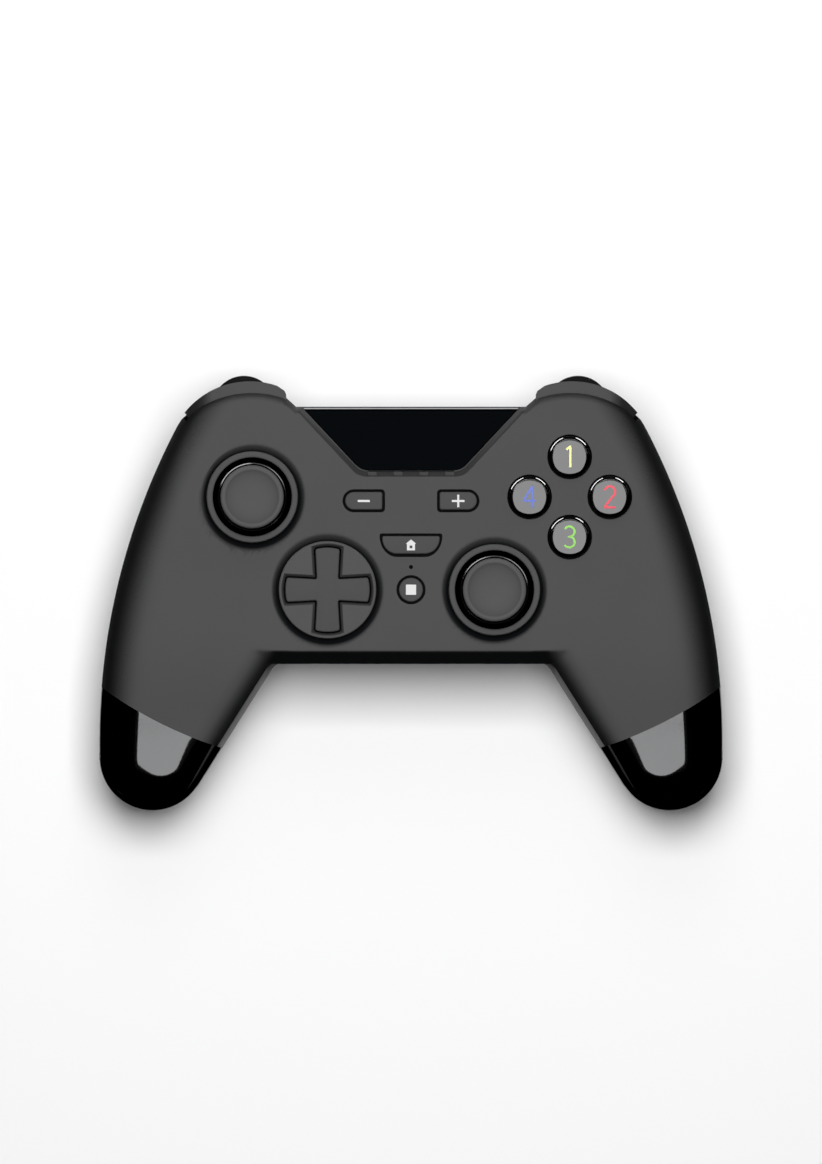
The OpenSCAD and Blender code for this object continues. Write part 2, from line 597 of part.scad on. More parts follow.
module stick_cap() color([0.22, 0.22, 0.23]) difference() {
  union() {
    translate([0, 0, cap_z - pivot_z]) cylinder(h = 3.2, r = cap_r);
    translate([0, 0, skirt_r - 0.6]) cylinder(h = 3.6, r = 3.4);
  }
  translate([0, 0, 0]) cylinder(h = 14.6, r = 1.35);
  sphere(r = skirt_r + 0.05);
  translate([0, 0, cap_z - pivot_z + 3.2 + 23.2]) sphere(r = 24.1);
}
module at_left() translate([-stick_x, outer_y, pivot_z]) children();
module at_right() translate([pad_x, inner_y, pivot_z]) children();
module left_stick_housing() at_left() stick_housing();
module left_stick_rocker() at_left() stick_rocker();
module left_stick_collar() at_left() stick_collar();
module left_stick_bail() at_left() stick_bail();
module left_stick_lever() at_left() stick_lever();
module left_stick_skirt() at_left() stick_skirt();
module left_stick_cap() at_left() stick_cap();
module right_stick_housing() at_right() stick_housing();
module right_stick_rocker() at_right() stick_rocker();
module right_stick_collar() at_right() stick_collar();
module right_stick_bail() at_right() stick_bail();
module right_stick_lever() at_right() stick_lever();
module right_stick_skirt() at_right() stick_skirt();
module right_stick_cap() at_right() stick_cap();

// Cross pad: rocking cross on a ball, its post, and the rubber mat below
module dpad_cross() color([0.2, 0.2, 0.21]) translate([-pad_x, inner_y, 0]) difference() {
  union() {
    translate([0, 0, flange_z - 0.9]) linear_extrude(pad_z - flange_z + 1.3) cross_plan(arm_w, arm_l);
    translate([0, 0, flange_z - 0.9]) cylinder(h = 1.1, r = 10.6);
    for (a = [0, 90, 180, 270]) rotate(a) translate([8, 0, flange_z - 2.6]) cylinder(h = 3, r = 1.2);
  }
  translate([0, 0, pad_pivot]) sphere(r = 1.8 + run);
  translate([0, 0, 20]) cylinder(h = pad_pivot - 20, r = 2.5);
}
module dpad_ball() color([0.6, 0.6, 0.62]) translate([-pad_x, inner_y, pad_pivot]) sphere(r = 1.8);
module dpad_post() color([0.15, 0.15, 0.16]) translate([-pad_x, inner_y, board_z]) difference() {
  union() {
    cylinder(h = pad_pivot - board_z - 1, r = 1.5);
    cylinder(h = 1.4, r = 3);
  }
  translate([0, 0, pad_pivot - board_z]) sphere(r = 1.8 + run);
}
module rubber_dome(r, h) {
  difference() {
    union() {
      cylinder(h = h - 1.4, r = r);
      cylinder(h = h, r = r - 0.8);
    }
    translate([0, 0, -1]) cylinder(h = h - 0.6, r = r - 1.4);
  }
}
mat_t = 0.9;
module dpad_mat() color([0.35, 0.35, 0.36]) translate([-pad_x, inner_y, board_z]) {
  difference() {
    cylinder(h = mat_t, r = 10.8);
    translate([0, 0, -1]) cylinder(h = 5, r = 3.3);
    for (a = [0, 90, 180, 270]) rotate(a) translate([8, 0, -1]) cylinder(h = 4, r = 1.2);
  }
  for (a = [0, 90, 180, 270]) rotate(a) translate([8, 0, mat_t - 0.2])
    rubber_dome(2.4, flange_z - 2.7 - board_z - mat_t + 0.2);
}

// Face buttons: domed cap, flange under the case and foot on the rubber mat
face_foot = board_z + 4.2;
module face_button() color([0.03, 0.03, 0.03]) {
  intersection() {
    translate([0, 0, flange_z]) cylinder(h = 20, r = face_hole - gap);
    translate([0, 0, face_z + face_rise - 12]) sphere(r = 12);
  }
  translate([0, 0, flange_z - 0.3]) cylinder(h = 1.1, r = 6.2);
  translate([0, 0, face_foot]) cylinder(h = flange_z - face_foot, r = 3);
}
module face_button_north() face_at(0) face_button();
module face_button_east() face_at(1) face_button();
module face_button_south() face_at(2) face_button();
module face_button_west() face_at(3) face_button();
module face_mat() color([0.35, 0.35, 0.36]) {
  difference() {
    translate([stick_x, outer_y, board_z]) linear_extrude(mat_t) {
      circle(r = 8);
      for (a = [0, 90, 180, 270]) rotate(a) translate([face_pitch, 0]) circle(r = 4.6);
    }
    for (k = [0:3]) face_at(k) translate([0, 0, board_z - 1]) cylinder(h = 4, r = 1.8);
  }
  for (k = [0:3]) face_at(k) translate([0, 0, board_z + mat_t - 0.2])
    rubber_dome(3.2, face_foot - 0.1 - board_z - mat_t + 0.2);
}

// Menu buttons
menu_foot = board_z + 3.4;
module menu_button(rise) {
  translate([0, 0, flange_z + 0.8]) linear_extrude(face_z + rise - flange_z - 0.8) children(0);
  translate([0, 0, flange_z - 0.3]) linear_extrude(1.4) children(1);
}
module minus_button() color([0.2, 0.2, 0.21]) {
  menu_button(0.7) {
    minus_plan(-gap);
    minus_plan(0.6);
  }
  translate([-11.49, 22.5, menu_foot]) cylinder(h = flange_z - menu_foot, r = 1.5);
}
module plus_button() mirror([1, 0, 0]) minus_button();
module home_button() color([0.2, 0.2, 0.21]) {
  menu_button(0.6) {
    home_plan(-gap);
    home_plan(0.5);
  }
  translate([0, 11.6, menu_foot]) cylinder(h = flange_z - menu_foot, r = 1.5);
}
module capture_button() color([0.2, 0.2, 0.21]) {
  menu_button(0.5) {
    translate([0, inner_y]) circle(r = shot_hole - gap);
    translate([0, inner_y]) circle(r = shot_hole + 0.6);
  }
  translate([0, inner_y, menu_foot]) cylinder(h = flange_z - menu_foot, r = 1.5);
}
menu_spots = [[-11.49, 22.5], [11.49, 22.5], [0, 11.6], [0, inner_y]];
module menu_mat() color([0.35, 0.35, 0.36]) {
  difference() {
    union() {
      translate([-16, 19.6, board_z]) cube([32, 5.8, mat_t]);
      translate([-4.5, inner_y - 3.4, board_z]) cube([9, 23, mat_t]);
    }
    for (p = menu_spots) translate([p[0], p[1], board_z - 1]) cylinder(h = 4, r = 1.2);
    translate([0, 6.4, board_z - 1]) cylinder(h = 4, r = 1.2);
  }
  for (p = menu_spots) translate([p[0], p[1], board_z + mat_t - 0.2])
    rubber_dome(2.2, menu_foot - 0.1 - board_z - mat_t + 0.2);
}

// Bumpers on upright pins, with their switches on the board
module bumper() color([0.24, 0.24, 0.25]) difference() {
  intersection() {
    translate([0, 0, bumper_z]) linear_extrude(bumper_h) {
      bumper_plan();
      translate(pin) circle(r = 2.1);
      translate(pin - [1, 0]) square([3, 4]);
    }
    translate([0, 80, bumper_z]) rotate([90, 0, 0]) linear_extrude(60)
      translate([pin[0], 0]) polygon([[-12, -1], [-12, bumper_h], [16.5, bumper_h], [19.5, bumper_h - 0.7],
        [22, bumper_h - 2.2], [23.6, bumper_h - 4.4], [24.4, -1]]);
  }
  translate([pin[0], pin[1], 20]) cylinder(h = 30, r = 1 + run);
}
module left_bumper() mirror([1, 0, 0]) bumper();
module right_bumper() bumper();
module bumper_pins() color([0.6, 0.6, 0.62]) both()
  translate([pin[0], pin[1], axle_z - 2.5]) cylinder(h = face_z - 1.2 - axle_z + 2.5, r = 1);
module bumper_switches() color([0.5, 0.5, 0.5]) both() translate([pin[0] + 16, shoulder_y - 15.1, board_z]) {
  translate([-2.5, 0, 0]) cube([5, 4, 4]);
  translate([0, 4, 2]) rotate([-90, 0, 0]) cylinder(h = 2, r = 1);
}

// Triggers on level axles
module trigger() color([0.03, 0.03, 0.03]) difference() {
  intersection() {
    translate([trigger_c[0], trigger_c[1], 0]) cylinder(h = 40, r = trigger_r, $fn = 96);
    union() {
      translate([trigger_x0, axle_y, axle_z]) rotate([0, 90, 0]) cylinder(h = 20, r = 2.9);
      translate([trigger_x0, 0, 0]) rotate([90, 0, 90]) linear_extrude(20) translate([axle_y, axle_z])
        polygon([[0, 2], [1, 2.8], [12, 2.8], [12, -0.4], [10.9, -4.4], [9.2, -9], [7.2, -13], [5.9, -15.4],
          [4.9, -16.3], [4.1, -15.7], [4.4, -14], [5.6, -11], [6.7, -7.5], [6.9, -4.5], [4.5, -2.5], [1, -2.3],
          [0, -2]]);
    }
  }
  translate([trigger_x0 - 5, axle_y, axle_z]) rotate([0, 90, 0]) cylinder(h = 30, r = axle_r + run);
  translate([trigger_x0 + 9.1, axle_y, axle_z]) rotate([0, 90, 0]) cylinder(h = 10, r = 3.9);
}
module left_trigger() mirror([1, 0, 0]) trigger();
module right_trigger() trigger();
module trigger_axles() color([0.6, 0.6, 0.62]) both()
  translate([bracket_x - 0.2, axle_y, axle_z]) rotate([0, 90, 0]) cylinder(h = 17.4, r = axle_r);
// Coil on the axle, one leg on the bracket and one behind the trigger
coil_r = axle_r + 0.7;
module trigger_spring() color([0.65, 0.65, 0.67]) translate([trigger_x0 + 9.6, axle_y, axle_z]) tube(concat(
    [[0, -2.6, -6.6]],
    [for (k = [0:30]) let (a = 180 - 30 * k) [k / 10, coil_r * cos(a), coil_r * sin(a)]],
    [[3, 2.3, -3.5], [2.7, 5.9, -7]]), 0.3, 6);
module left_trigger_spring() mirror([1, 0, 0]) trigger_spring();
module right_trigger_spring() trigger_spring();
// Brackets that carry axle and bumper pin and stand on the lower case
module trigger_brackets() color([0.15, 0.15, 0.16]) both() difference() {
  union() {
    translate([bracket_x, axle_y - 4.6, bracket_z]) cube([17, 1.4, bumper_z - bracket_z - 0.4]);
    translate([bracket_x, axle_y - 4.6, axle_z - 3]) cube([1.4, 7, bumper_z - axle_z + 2.6]);
    translate([bracket_x + 15.6, axle_y - 4.6, axle_z - 3]) cube([1.4, 7, bumper_z - axle_z + 2.6]);
    translate([pin[0], pin[1], axle_z - 3]) cylinder(h = bumper_z - axle_z + 2.6, r = pillar_r);
    translate([pin[0], pin[1] - 0.7, axle_z - 3]) cube([bracket_x - pin[0] + 0.5, 1.4, bumper_z - axle_z + 2.6]);
  }
  translate([trigger_x0 - 5, axle_y, axle_z]) rotate([0, 90, 0]) cylinder(h = 30, r = axle_r + run);
  translate([pin[0], pin[1], axle_z - 2.6]) cylinder(h = 20, r = 1 + run);
}
module trigger_switches() color([0.5, 0.5, 0.5]) both() {
  translate([bracket_x + 5.6, axle_y - 3.2, bracket_z + 0.2]) cube([5, 3.2, 4.4]);
  translate([bracket_x + 8.1, axle_y, bracket_z + 1.4]) rotate([-90, 0, 0]) cylinder(h = 2.7, r = 1);
}

// Rumble motors and their off-centre weights
module rumble_motor() color([0.65, 0.65, 0.67]) translate([motor_x, motor_y, motor_z]) rotate([-90, 0, 0])
  difference() {
    cylinder(h = 16, r = motor_r);
    translate([0, 0, -1]) cylinder(h = 13, r = 0.8 + run);
  }
module left_rumble_motor() mirror([1, 0, 0]) rumble_motor();
module right_rumble_motor() rumble_motor();
module rumble_weight() color([0.55, 0.45, 0.2]) translate([motor_x, motor_y, motor_z]) rotate([-90, 0, 0]) {
  translate([0, 0, -8]) cylinder(h = 19, r = 0.8);
  translate([0, 0, -7.5]) difference() {
    cylinder(h = 5, r = weight_r);
    translate([-20, -20, -1]) cube([40, 18.4, 10]);
  }
}
module left_rumble_weight() mirror([1, 0, 0]) rumble_weight();
module right_rumble_weight() rumble_weight();

top_shell();
bottom_shell();
left_grip_cap();
right_grip_cap();
rear_panel();
player_light_guide();
status_light_pipe();
left_stick_bezel();
right_stick_bezel();
dpad_bezel();
case_screws();
board_screws();
main_board();
battery_cell();
battery_lead();
usb_socket();
left_stick_housing();
left_stick_rocker();
left_stick_collar();
left_stick_bail();
left_stick_lever();
left_stick_skirt();
left_stick_cap();
right_stick_housing();
right_stick_rocker();
right_stick_collar();
right_stick_bail();
right_stick_lever();
right_stick_skirt();
right_stick_cap();
dpad_cross();
dpad_ball();
dpad_post();
dpad_mat();
face_button_north();
face_button_east();
face_button_south();
face_button_west();
face_mat();
minus_button();
plus_button();
home_button();
capture_button();
menu_mat();
left_bumper();
right_bumper();
bumper_pins();
bumper_switches();
left_trigger();
right_trigger();
trigger_axles();
left_trigger_spring();
right_trigger_spring();
trigger_brackets();
trigger_switches();
left_rumble_motor();
right_rumble_motor();
left_rumble_weight();
right_rumble_weight();
motor_leads();
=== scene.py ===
# %% [markdown]
# # Dressing a gamepad
# A gamepad is a moulded case with a crowd of small controls in it. The solid model gives every piece
# its place and its motion. This lesson loads that model as a fixed frame and gives each piece that
# shows its real surface: fine-grained plastic, polished black plastic, rubber and print.

# %% Load the solid model
import bpy
import bmesh
import json
from math import asin, cos, hypot, pi, radians, sin, sqrt
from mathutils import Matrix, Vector

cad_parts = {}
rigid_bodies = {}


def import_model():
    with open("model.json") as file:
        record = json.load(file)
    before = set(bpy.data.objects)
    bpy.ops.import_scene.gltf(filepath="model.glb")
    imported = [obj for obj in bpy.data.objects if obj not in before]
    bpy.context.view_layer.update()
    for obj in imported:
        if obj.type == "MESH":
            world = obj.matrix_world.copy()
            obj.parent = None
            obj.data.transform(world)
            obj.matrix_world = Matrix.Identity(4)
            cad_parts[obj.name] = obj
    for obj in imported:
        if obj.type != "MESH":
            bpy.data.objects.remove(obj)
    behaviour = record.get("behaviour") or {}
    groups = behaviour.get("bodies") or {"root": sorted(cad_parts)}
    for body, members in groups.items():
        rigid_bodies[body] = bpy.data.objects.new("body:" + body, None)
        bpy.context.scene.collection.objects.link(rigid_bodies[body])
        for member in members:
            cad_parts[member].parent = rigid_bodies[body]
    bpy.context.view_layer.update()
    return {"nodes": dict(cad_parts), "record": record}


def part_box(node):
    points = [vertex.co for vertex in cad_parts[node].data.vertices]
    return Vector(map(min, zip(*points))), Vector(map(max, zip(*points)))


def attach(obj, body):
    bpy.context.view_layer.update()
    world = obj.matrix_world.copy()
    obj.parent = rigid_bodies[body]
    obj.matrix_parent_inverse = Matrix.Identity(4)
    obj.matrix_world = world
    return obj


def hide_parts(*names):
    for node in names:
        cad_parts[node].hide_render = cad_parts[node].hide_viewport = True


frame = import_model()
scene = bpy.context.scene
scene.view_settings.view_transform = "Standard"
record = frame["record"]
body_of = {node: body for body, nodes in record["behaviour"]["bodies"].items() for node in nodes}
slot_of = {part["node"]: part["material_slot"] for part in record["subparts"]}

# %% [markdown]
# ## Finishes
# Every plastic here is the same idea: one base colour that wanders a little, a roughness that wanders
# with it, and a bump for the grain left by the mould. Noise in Object coordinates does all three. The
# grain size is given in millimetres, so it stays the same on a large shell and on a small button.

# %% One recipe for moulded finishes
MM = 0.001
BROAD_SCALE = 60     # patches of colour about 17 mm across
GLOSS_SPREAD = 0.06  # how far the roughness wanders to either side


def bare_finish(name):
    """A new material, with its tree of nodes and its shader."""
    finish = bpy.data.materials.new(name)
    finish.use_nodes = True
    return finish, finish.node_tree, finish.node_tree.nodes["Principled BSDF"]


def add_node(tree, kind, values=None, links=None):
    """Adds a node, sets its sockets and links other sockets into it."""
    node = tree.nodes.new("ShaderNode" + kind)
    for socket, value in (values or {}).items():
        node.inputs[socket].default_value = value
    for socket, source in (links or {}).items():
        tree.links.new(source, node.inputs[socket])
    return node


def moulded(name, colour, rough, grain=0.35, bump=0.02, wander=0.12, specular=0.5, metal=0.0,
            stretch=(1, 1, 1), rim=None):
    """A finish whose colour, gloss and relief follow fine noise. Sizes are in millimetres."""
    finish, tree, shader = bare_finish(name)
    place = add_node(tree, "TexCoord")
    turn = add_node(tree, "Mapping", {"Scale": stretch}, {"Vector": place.outputs["Object"]})
    at = {"Vector": turn.outputs["Vector"]}
    fine = add_node(tree, "TexNoise", {"Scale": 1 / (grain * MM), "Detail": 3}, at).outputs["Fac"]
    broad = add_node(tree, "TexNoise", {"Scale": BROAD_SCALE, "Detail": 2}, at).outputs["Fac"]
    shade = add_node(tree, "MapRange", {"To Min": 1 - wander, "To Max": 1 + wander}, {"Value": broad})
    tint = add_node(tree, "MixRGB", {"Fac": 1, "Color1": (*colour, 1)}, {"Color2": shade.outputs["Result"]})
    tint.blend_type = "MULTIPLY"
    span = {"To Min": max(rough - GLOSS_SPREAD, 0.02), "To Max": min(rough + GLOSS_SPREAD, 1)}
    gloss = add_node(tree, "MapRange", span, {"Value": fine})
    relief = add_node(tree, "Bump", {"Strength": 0.6, "Distance": bump * MM}, {"Height": fine})
    tree.links.new(tint.outputs["Color"], shader.inputs["Base Color"])
    tree.links.new(gloss.outputs["Result"], shader.inputs["Roughness"])
    tree.links.new(relief.outputs["Normal"], shader.inputs["Normal"])
    shader.inputs["Metallic"].default_value = metal
    shader.inputs["Specular IOR Level"].default_value = specular
    if rim is not None:
        shader.inputs["Specular Tint"].default_value = (rim, rim, rim, 1)
    return finish


print("patches of colour:", round(1 / BROAD_SCALE / MM, 1), "mm")

# %% [markdown]
# ## Finishes that show
# The case and its keys are satin grey with very little shine. Polished black plastic mirrors the room, but
# only a little of it. Here it is a dark metal: the metal's colour sets how bright the reflections are, and
# a black tint at grazing angles keeps the edges dark.

# %% Outside finishes
SATIN = {"grain": 0.25, "bump": 0.008}
POLISHED = {"metal": 1.0, "rim": 0.0}
case_grey = moulded("case_grey", (0.070, 0.070, 0.0705), 0.5, grain=0.28, bump=0.012, wander=0.05,
                    specular=0.015)
# The lower case is dark; this lighter grey shows only as the painted highlight on its ledge
under_black = moulded("under_black", (0.16, 0.16, 0.16), 0.55, grain=0.3, wander=0.08, specular=0.15)
# The panel is black; this light grey shows only as the painted highlight at its rear edge
panel_gloss = moulded("panel_gloss", (0.4, 0.404, 0.41), 0.1, bump=0.0006, wander=0.1, specular=0.004)
cap_gloss = moulded("cap_gloss", (0.058, 0.0586, 0.0595), 0.06, bump=0.0006, wander=0.05, **POLISHED)
button_gloss = moulded("button_gloss", (0.061, 0.061, 0.062), 0.05, bump=0.0004, wander=0.03, **POLISHED)
skirt_gloss = moulded("skirt_gloss", (0.05, 0.05, 0.052), 0.12, bump=0.001, wander=0.05, **POLISHED)
trigger_gloss = moulded("trigger_gloss", (0.004, 0.0042, 0.0046), 0.5, bump=0.002, wander=0.1, specular=0.03)
ring_grey = moulded("ring_grey", (0.050, 0.050, 0.0505), 0.45, wander=0.05, specular=0.1, **SATIN)
pad_grey = moulded("pad_grey", (0.053, 0.053, 0.0535), 0.45, wander=0.05, specular=0.1, **SATIN)
key_grey = moulded("key_grey", (0.058, 0.058, 0.0585), 0.5, wander=0.05, specular=0.06, **SATIN)
bumper_grey = moulded("bumper_grey", (0.035, 0.035, 0.0355), 0.45, wander=0.06, specular=0.14, **SATIN)
stick_rubber = moulded("stick_rubber", (0.074, 0.074, 0.0745), 0.6, grain=0.4, wander=0.08, specular=0.08)
smoked_clear = moulded("smoked_clear", (0.06, 0.061, 0.06), 0.25, bump=0.001, wander=0.1, specular=0.2)
dark_clear = moulded("dark_clear", (0.002, 0.0021, 0.0021), 0.5, bump=0.001, wander=0.1, specular=0.01)
print_white = moulded("print_white", (0.66, 0.66, 0.655), 0.5, grain=0.2, bump=0.002, wander=0.03,
                      specular=0.1)
print("materials so far:", len(bpy.data.materials))

# %% [markdown]
# ## Painted light and shade
# The grey of the case fades to black down its sides, and the feet of the keys are dark: both are painted
# shade, and a few light lines are painted highlights. A painted image could do that. Here each piece stores
# one number at every point, its painted light, and the finish mixes from a dark colour to its own by that
# number, with a grainy edge.

# %% Fade by the piece's own attribute


def add_painted_light(finish, dark, speckle=1.6, matt=0.25):
    """Paints shade: lets the colour run out into a dark one, rougher by matt, where the piece's painted light
    falls to 0.
    """
    tree = finish.node_tree
    shader = tree.nodes["Principled BSDF"]
    colour = shader.inputs["Base Color"].links[0].from_socket
    rough = shader.inputs["Roughness"].links[0].from_socket
    share = tree.nodes.new("ShaderNodeAttribute")
    share.attribute_name = "fade"

    def sum_of(operation, a, b, c=None):
        node = tree.nodes.new("ShaderNodeMath")
        node.operation = operation
        for socket, value in zip(node.inputs, (a, b, c)):
            if hasattr(value, "is_linked"):
                tree.links.new(value, socket)
            elif value is not None:
                socket.default_value = value
        return node.outputs["Value"]

    grain = sum_of("SUBTRACT", tree.nodes["Noise Texture"].outputs["Fac"], 0.5)
    half_way = sum_of("MULTIPLY", share.outputs["Fac"], sum_of("SUBTRACT", 1.0, share.outputs["Fac"]))
    spots = sum_of("MULTIPLY", sum_of("MULTIPLY", grain, half_way), speckle)
    mix = add_node(tree, "MixRGB", {"Color1": (*dark, 1)},
                   {"Fac": sum_of("ADD", share.outputs["Fac"], spots), "Color2": colour})
    mix.use_clamp = True
    tree.links.new(mix.outputs["Color"], shader.inputs["Base Color"])
    lost = sum_of("SUBTRACT", 1.0, share.outputs["Fac"])
    tree.links.new(sum_of("MULTIPLY_ADD", lost, matt, rough), shader.inputs["Roughness"])


# Dark colours that the painted shade runs out to
CASE_PAINTED_SHADE, KEY_PAINTED_SHADE = (0.003, 0.0034, 0.0038), (0.004, 0.004, 0.0042)
add_painted_light(case_grey, CASE_PAINTED_SHADE)
add_painted_light(key_grey, KEY_PAINTED_SHADE, matt=0.1)
add_painted_light(pad_grey, KEY_PAINTED_SHADE, matt=0.1)
add_painted_light(stick_rubber, (0.02, 0.02, 0.0202), speckle=0.5, matt=0.0)
add_painted_light(under_black, (0.006, 0.0062, 0.0066), matt=0.0)
add_painted_light(panel_gloss, (0.0010, 0.0016, 0.0022), matt=0.0)
add_painted_light(button_gloss, (0.0006, 0.0006, 0.0006), speckle=0.0, matt=0.0)
add_painted_light(bumper_grey, (0.004, 0.0042, 0.0046), matt=0.1)
print("the case runs out to", CASE_PAINTED_SHADE)

# %% [markdown]
# ## The works inside
# The pieces behind the case keep their solids, which are already the right shape. They still get real
# finishes, because they show through the gaps and when the part is taken to pieces. Steel is drawn, so
# its noise is stretched along one axis. The board gets thin lines from a brick texture for its tracks.

# %% Finishes for the works
DRAWN = {"bump": 0.003, "wander": 0.1, "metal": 1.0}
steel = moulded("steel", (0.5, 0.5, 0.51), 0.32, grain=0.5, stretch=(1, 0.08, 1), **DRAWN)
brass = moulded("turned_brass", (0.5, 0.37, 0.14), 0.3, grain=0.4, stretch=(1, 0.1, 1), **DRAWN)
works_black = moulded("works_black", (0.014, 0.014, 0.015), 0.5, bump=0.01)
mat_rubber = moulded("mat_rubber", (0.16, 0.16, 0.165), 0.7, grain=0.5, bump=0.02)
lead_red = moulded("lead_red", (0.3, 0.015, 0.012), 0.45, bump=0.004)
lead_blue = moulded("lead_blue", (0.02, 0.03, 0.2), 0.45, bump=0.004)
foil = moulded("battery_foil", (0.42, 0.43, 0.46), 0.38, grain=2.5, bump=0.05, wander=0.1, metal=0.7)
board_green = moulded("board_green", (0.012, 0.085, 0.045), 0.35, grain=0.4, bump=0.004)
TRACK_SCALE, TRACK_WIDTH = 260, 0.035


def add_tracks(finish, colour):
    """Thin copper-backed lines over the board, from the joints of a brick pattern."""
    tree = finish.node_tree
    shader = tree.nodes["Principled BSDF"]
    base = shader.inputs["Base Color"].links[0].from_socket
    place = tree.nodes["Texture Coordinate"].outputs["Object"]
    pattern = {"Scale": TRACK_SCALE, "Mortar Size": TRACK_WIDTH, "Color1": (0, 0, 0, 1),
               "Color2": (0, 0, 0, 1), "Mortar": (1, 1, 1, 1)}
    bricks = add_node(tree, "TexBrick", pattern, {"Vector": place})
    mix = add_node(tree, "MixRGB", {"Color2": (*colour, 1)}, {"Fac": bricks.outputs["Color"], "Color1": base})
    tree.links.new(mix.outputs["Color"], shader.inputs["Base Color"])


add_tracks(board_green, (0.03, 0.16, 0.07))
inner_finish = {"steel": steel, "weight_brass": brass, "works_black": works_black,
                "mat_rubber": mat_rubber, "lead_red": lead_red, "lead_blue": lead_blue,
                "battery_foil": foil, "board_green": board_green,
                "light_guide": smoked_clear, "case_grey": case_grey, "gloss_black": cap_gloss,
                "ring_grey": ring_grey, "stick_rubber": stick_rubber}
for node, thing in frame["nodes"].items():
    thing.data.materials.clear()
    thing.data.materials.append(dark_clear if node == "status_light_pipe" else inner_finish[slot_of[node]])
print("solids with a finish:", len(frame["nodes"]))

# %% [markdown]
# ## From bmesh to piece
# All shapes below are drawn in millimetres, in the same place as their solids. One helper brings them
# to metres, shades them smooth with sharp edges kept, and ties them to the body of the solid they replace.

# %% Helpers that make pieces


def piece(name, bm, stands_for, finish, sharp=32, body=None):
    """Makes a piece of a bmesh in millimetres. It rides and looks as the solids it stands for."""
    bmesh.ops.scale(bm, vec=(MM, MM, MM), verts=bm.verts)
    mesh = bpy.data.meshes.new(name)
    bm.to_mesh(mesh)
    bm.free()
    mesh.shade_smooth()
    mesh.set_sharp_from_angle(angle=radians(sharp))
    thing = bpy.data.objects.new(name, mesh)
    scene.collection.objects.link(thing)
    mesh.materials.append(finish)
    lead = stands_for[0]
    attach(thing, body or body_of[lead])
    if body is None:
        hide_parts(*stands_for)
    return thing


def set_painted_light(thing, share):
    """Stores the painted light and shade: how much of the finish's own colour each point keeps, from its
    place in millimetres.
    """
    layer = thing.data.attributes.new("fade", "FLOAT", "POINT")
    for value, v in zip(layer.data, thing.data.vertices):
        value.value = share(v.co.x / MM, v.co.y / MM, v.co.z / MM)


print("bodies to ride on:", len(set(body_of.values())))

# %% [markdown]
# ## Ways to start a shape
# Most pieces of a pad are either turned, like a stick, or cut from a flat outline, like a key. So one
# helper spins a profile and one pulls up an outline. Both give a closed shape that can be rounded.

# %% Helpers that draw shapes
WELD = 0.0005  # points closer than this become one


def soften(bm, width, segments, angle=30, keep=None):
    """Rounds the edges of a shape that are sharper than angle, or those of them that keep picks."""
    edges = [e for e in bm.edges if len(e.link_faces) == 2 and e.calc_face_angle() > radians(angle)
             and (keep is None or keep(e))]
    bmesh.ops.bevel(bm, geom=edges, offset=width, offset_type="OFFSET", affect="EDGES", segments=segments,
                    profile=0.5, material=-1, clamp_overlap=True)
    return bm


def turned(profile, centre, steps, closed=False):
    """Spins points of (radius, height) round an upright axis at centre."""
    bm = bmesh.new()
    points = [bm.verts.new((r, 0, z)) for r, z in profile]
    pairs = list(zip(points, points[1:])) + ([(points[-1], points[0])] if closed else [])
    edges = [bm.edges.new(pair) for pair in pairs]
    bmesh.ops.spin(bm, geom=points + edges, cent=(0, 0, 0), axis=(0, 0, 1), angle=2 * pi, steps=steps,
                   use_merge=True)
    bmesh.ops.remove_doubles(bm, verts=bm.verts, dist=WELD)
    bmesh.ops.recalc_face_normals(bm, faces=bm.faces)
    bmesh.ops.translate(bm, verts=bm.verts, vec=(*centre, 0))
    return bm


def prism(outline, low, high):
    """Pulls a flat outline up from low to high."""
    bm = bmesh.new()
    face = bm.faces.new([bm.verts.new((x, y, low)) for x, y in outline])
    risen = bmesh.ops.extrude_face_region(bm, geom=[face])["geom"]
    tops = [g for g in risen if isinstance(g, bmesh.types.BMVert)]
    bmesh.ops.translate(bm, verts=tops, vec=(0, 0, high - low))
    bmesh.ops.recalc_face_normals(bm, faces=bm.faces)
    return bm


def joined(*shapes):
    """Puts several shapes into one bmesh."""
    whole = shapes[0]
    for shape in shapes[1:]:
        mesh = bpy.data.meshes.new("part")
        shape.to_mesh(mesh)
        shape.free()
        whole.from_mesh(mesh)
        bpy.data.meshes.remove(mesh)
    return whole


def mirrored(bm):
    """The same shape on the other side, facing outwards again."""
    other = bm.copy()
    bmesh.ops.scale(other, vec=(-1, 1, 1), verts=other.verts)
    bmesh.ops.reverse_faces(other, faces=other.faces)
    return other


print("points weld within", WELD, "mm")

# %% [markdown]
# ## Cutting and copying
# Openings are cut with the boolean modifier, whose result is read back, so no modifier stays on the piece.
# Where a solid already has the right form, a merged copy of it is rounded instead of drawn again.

# %% Helpers that cut and copy


def plain(name, bm):
    """Makes a bare object of a bmesh, for a cutter or the stage."""
    mesh = bpy.data.meshes.new(name)
    bm.to_mesh(mesh)
    bm.free()
    thing = bpy.data.objects.new(name, mesh)
    scene.collection.objects.link(thing)
    return thing


def carved(bm, cutters):
    """Takes cutters out of a closed shape with the exact boolean, and gives the result as a bmesh."""
    block = plain("block", bm)
    tools = bpy.data.collections.new("tools")
    for cutter in cutters:
        thing = plain("cutter", cutter)
        scene.collection.objects.unlink(thing)
        tools.objects.link(thing)
    cut = block.modifiers.new("cut", "BOOLEAN")
    cut.operand_type = "COLLECTION"
    cut.collection = tools
    cut.solver = "EXACT"
    graph = bpy.context.evaluated_depsgraph_get()
    mesh = bpy.data.meshes.new_from_object(block.evaluated_get(graph))
    result = bmesh.new()
    result.from_mesh(mesh)
    for thing in list(tools.objects) + [block]:
        bpy.data.objects.remove(thing)
    bpy.data.collections.remove(tools)
    bpy.data.meshes.remove(mesh)
    return result


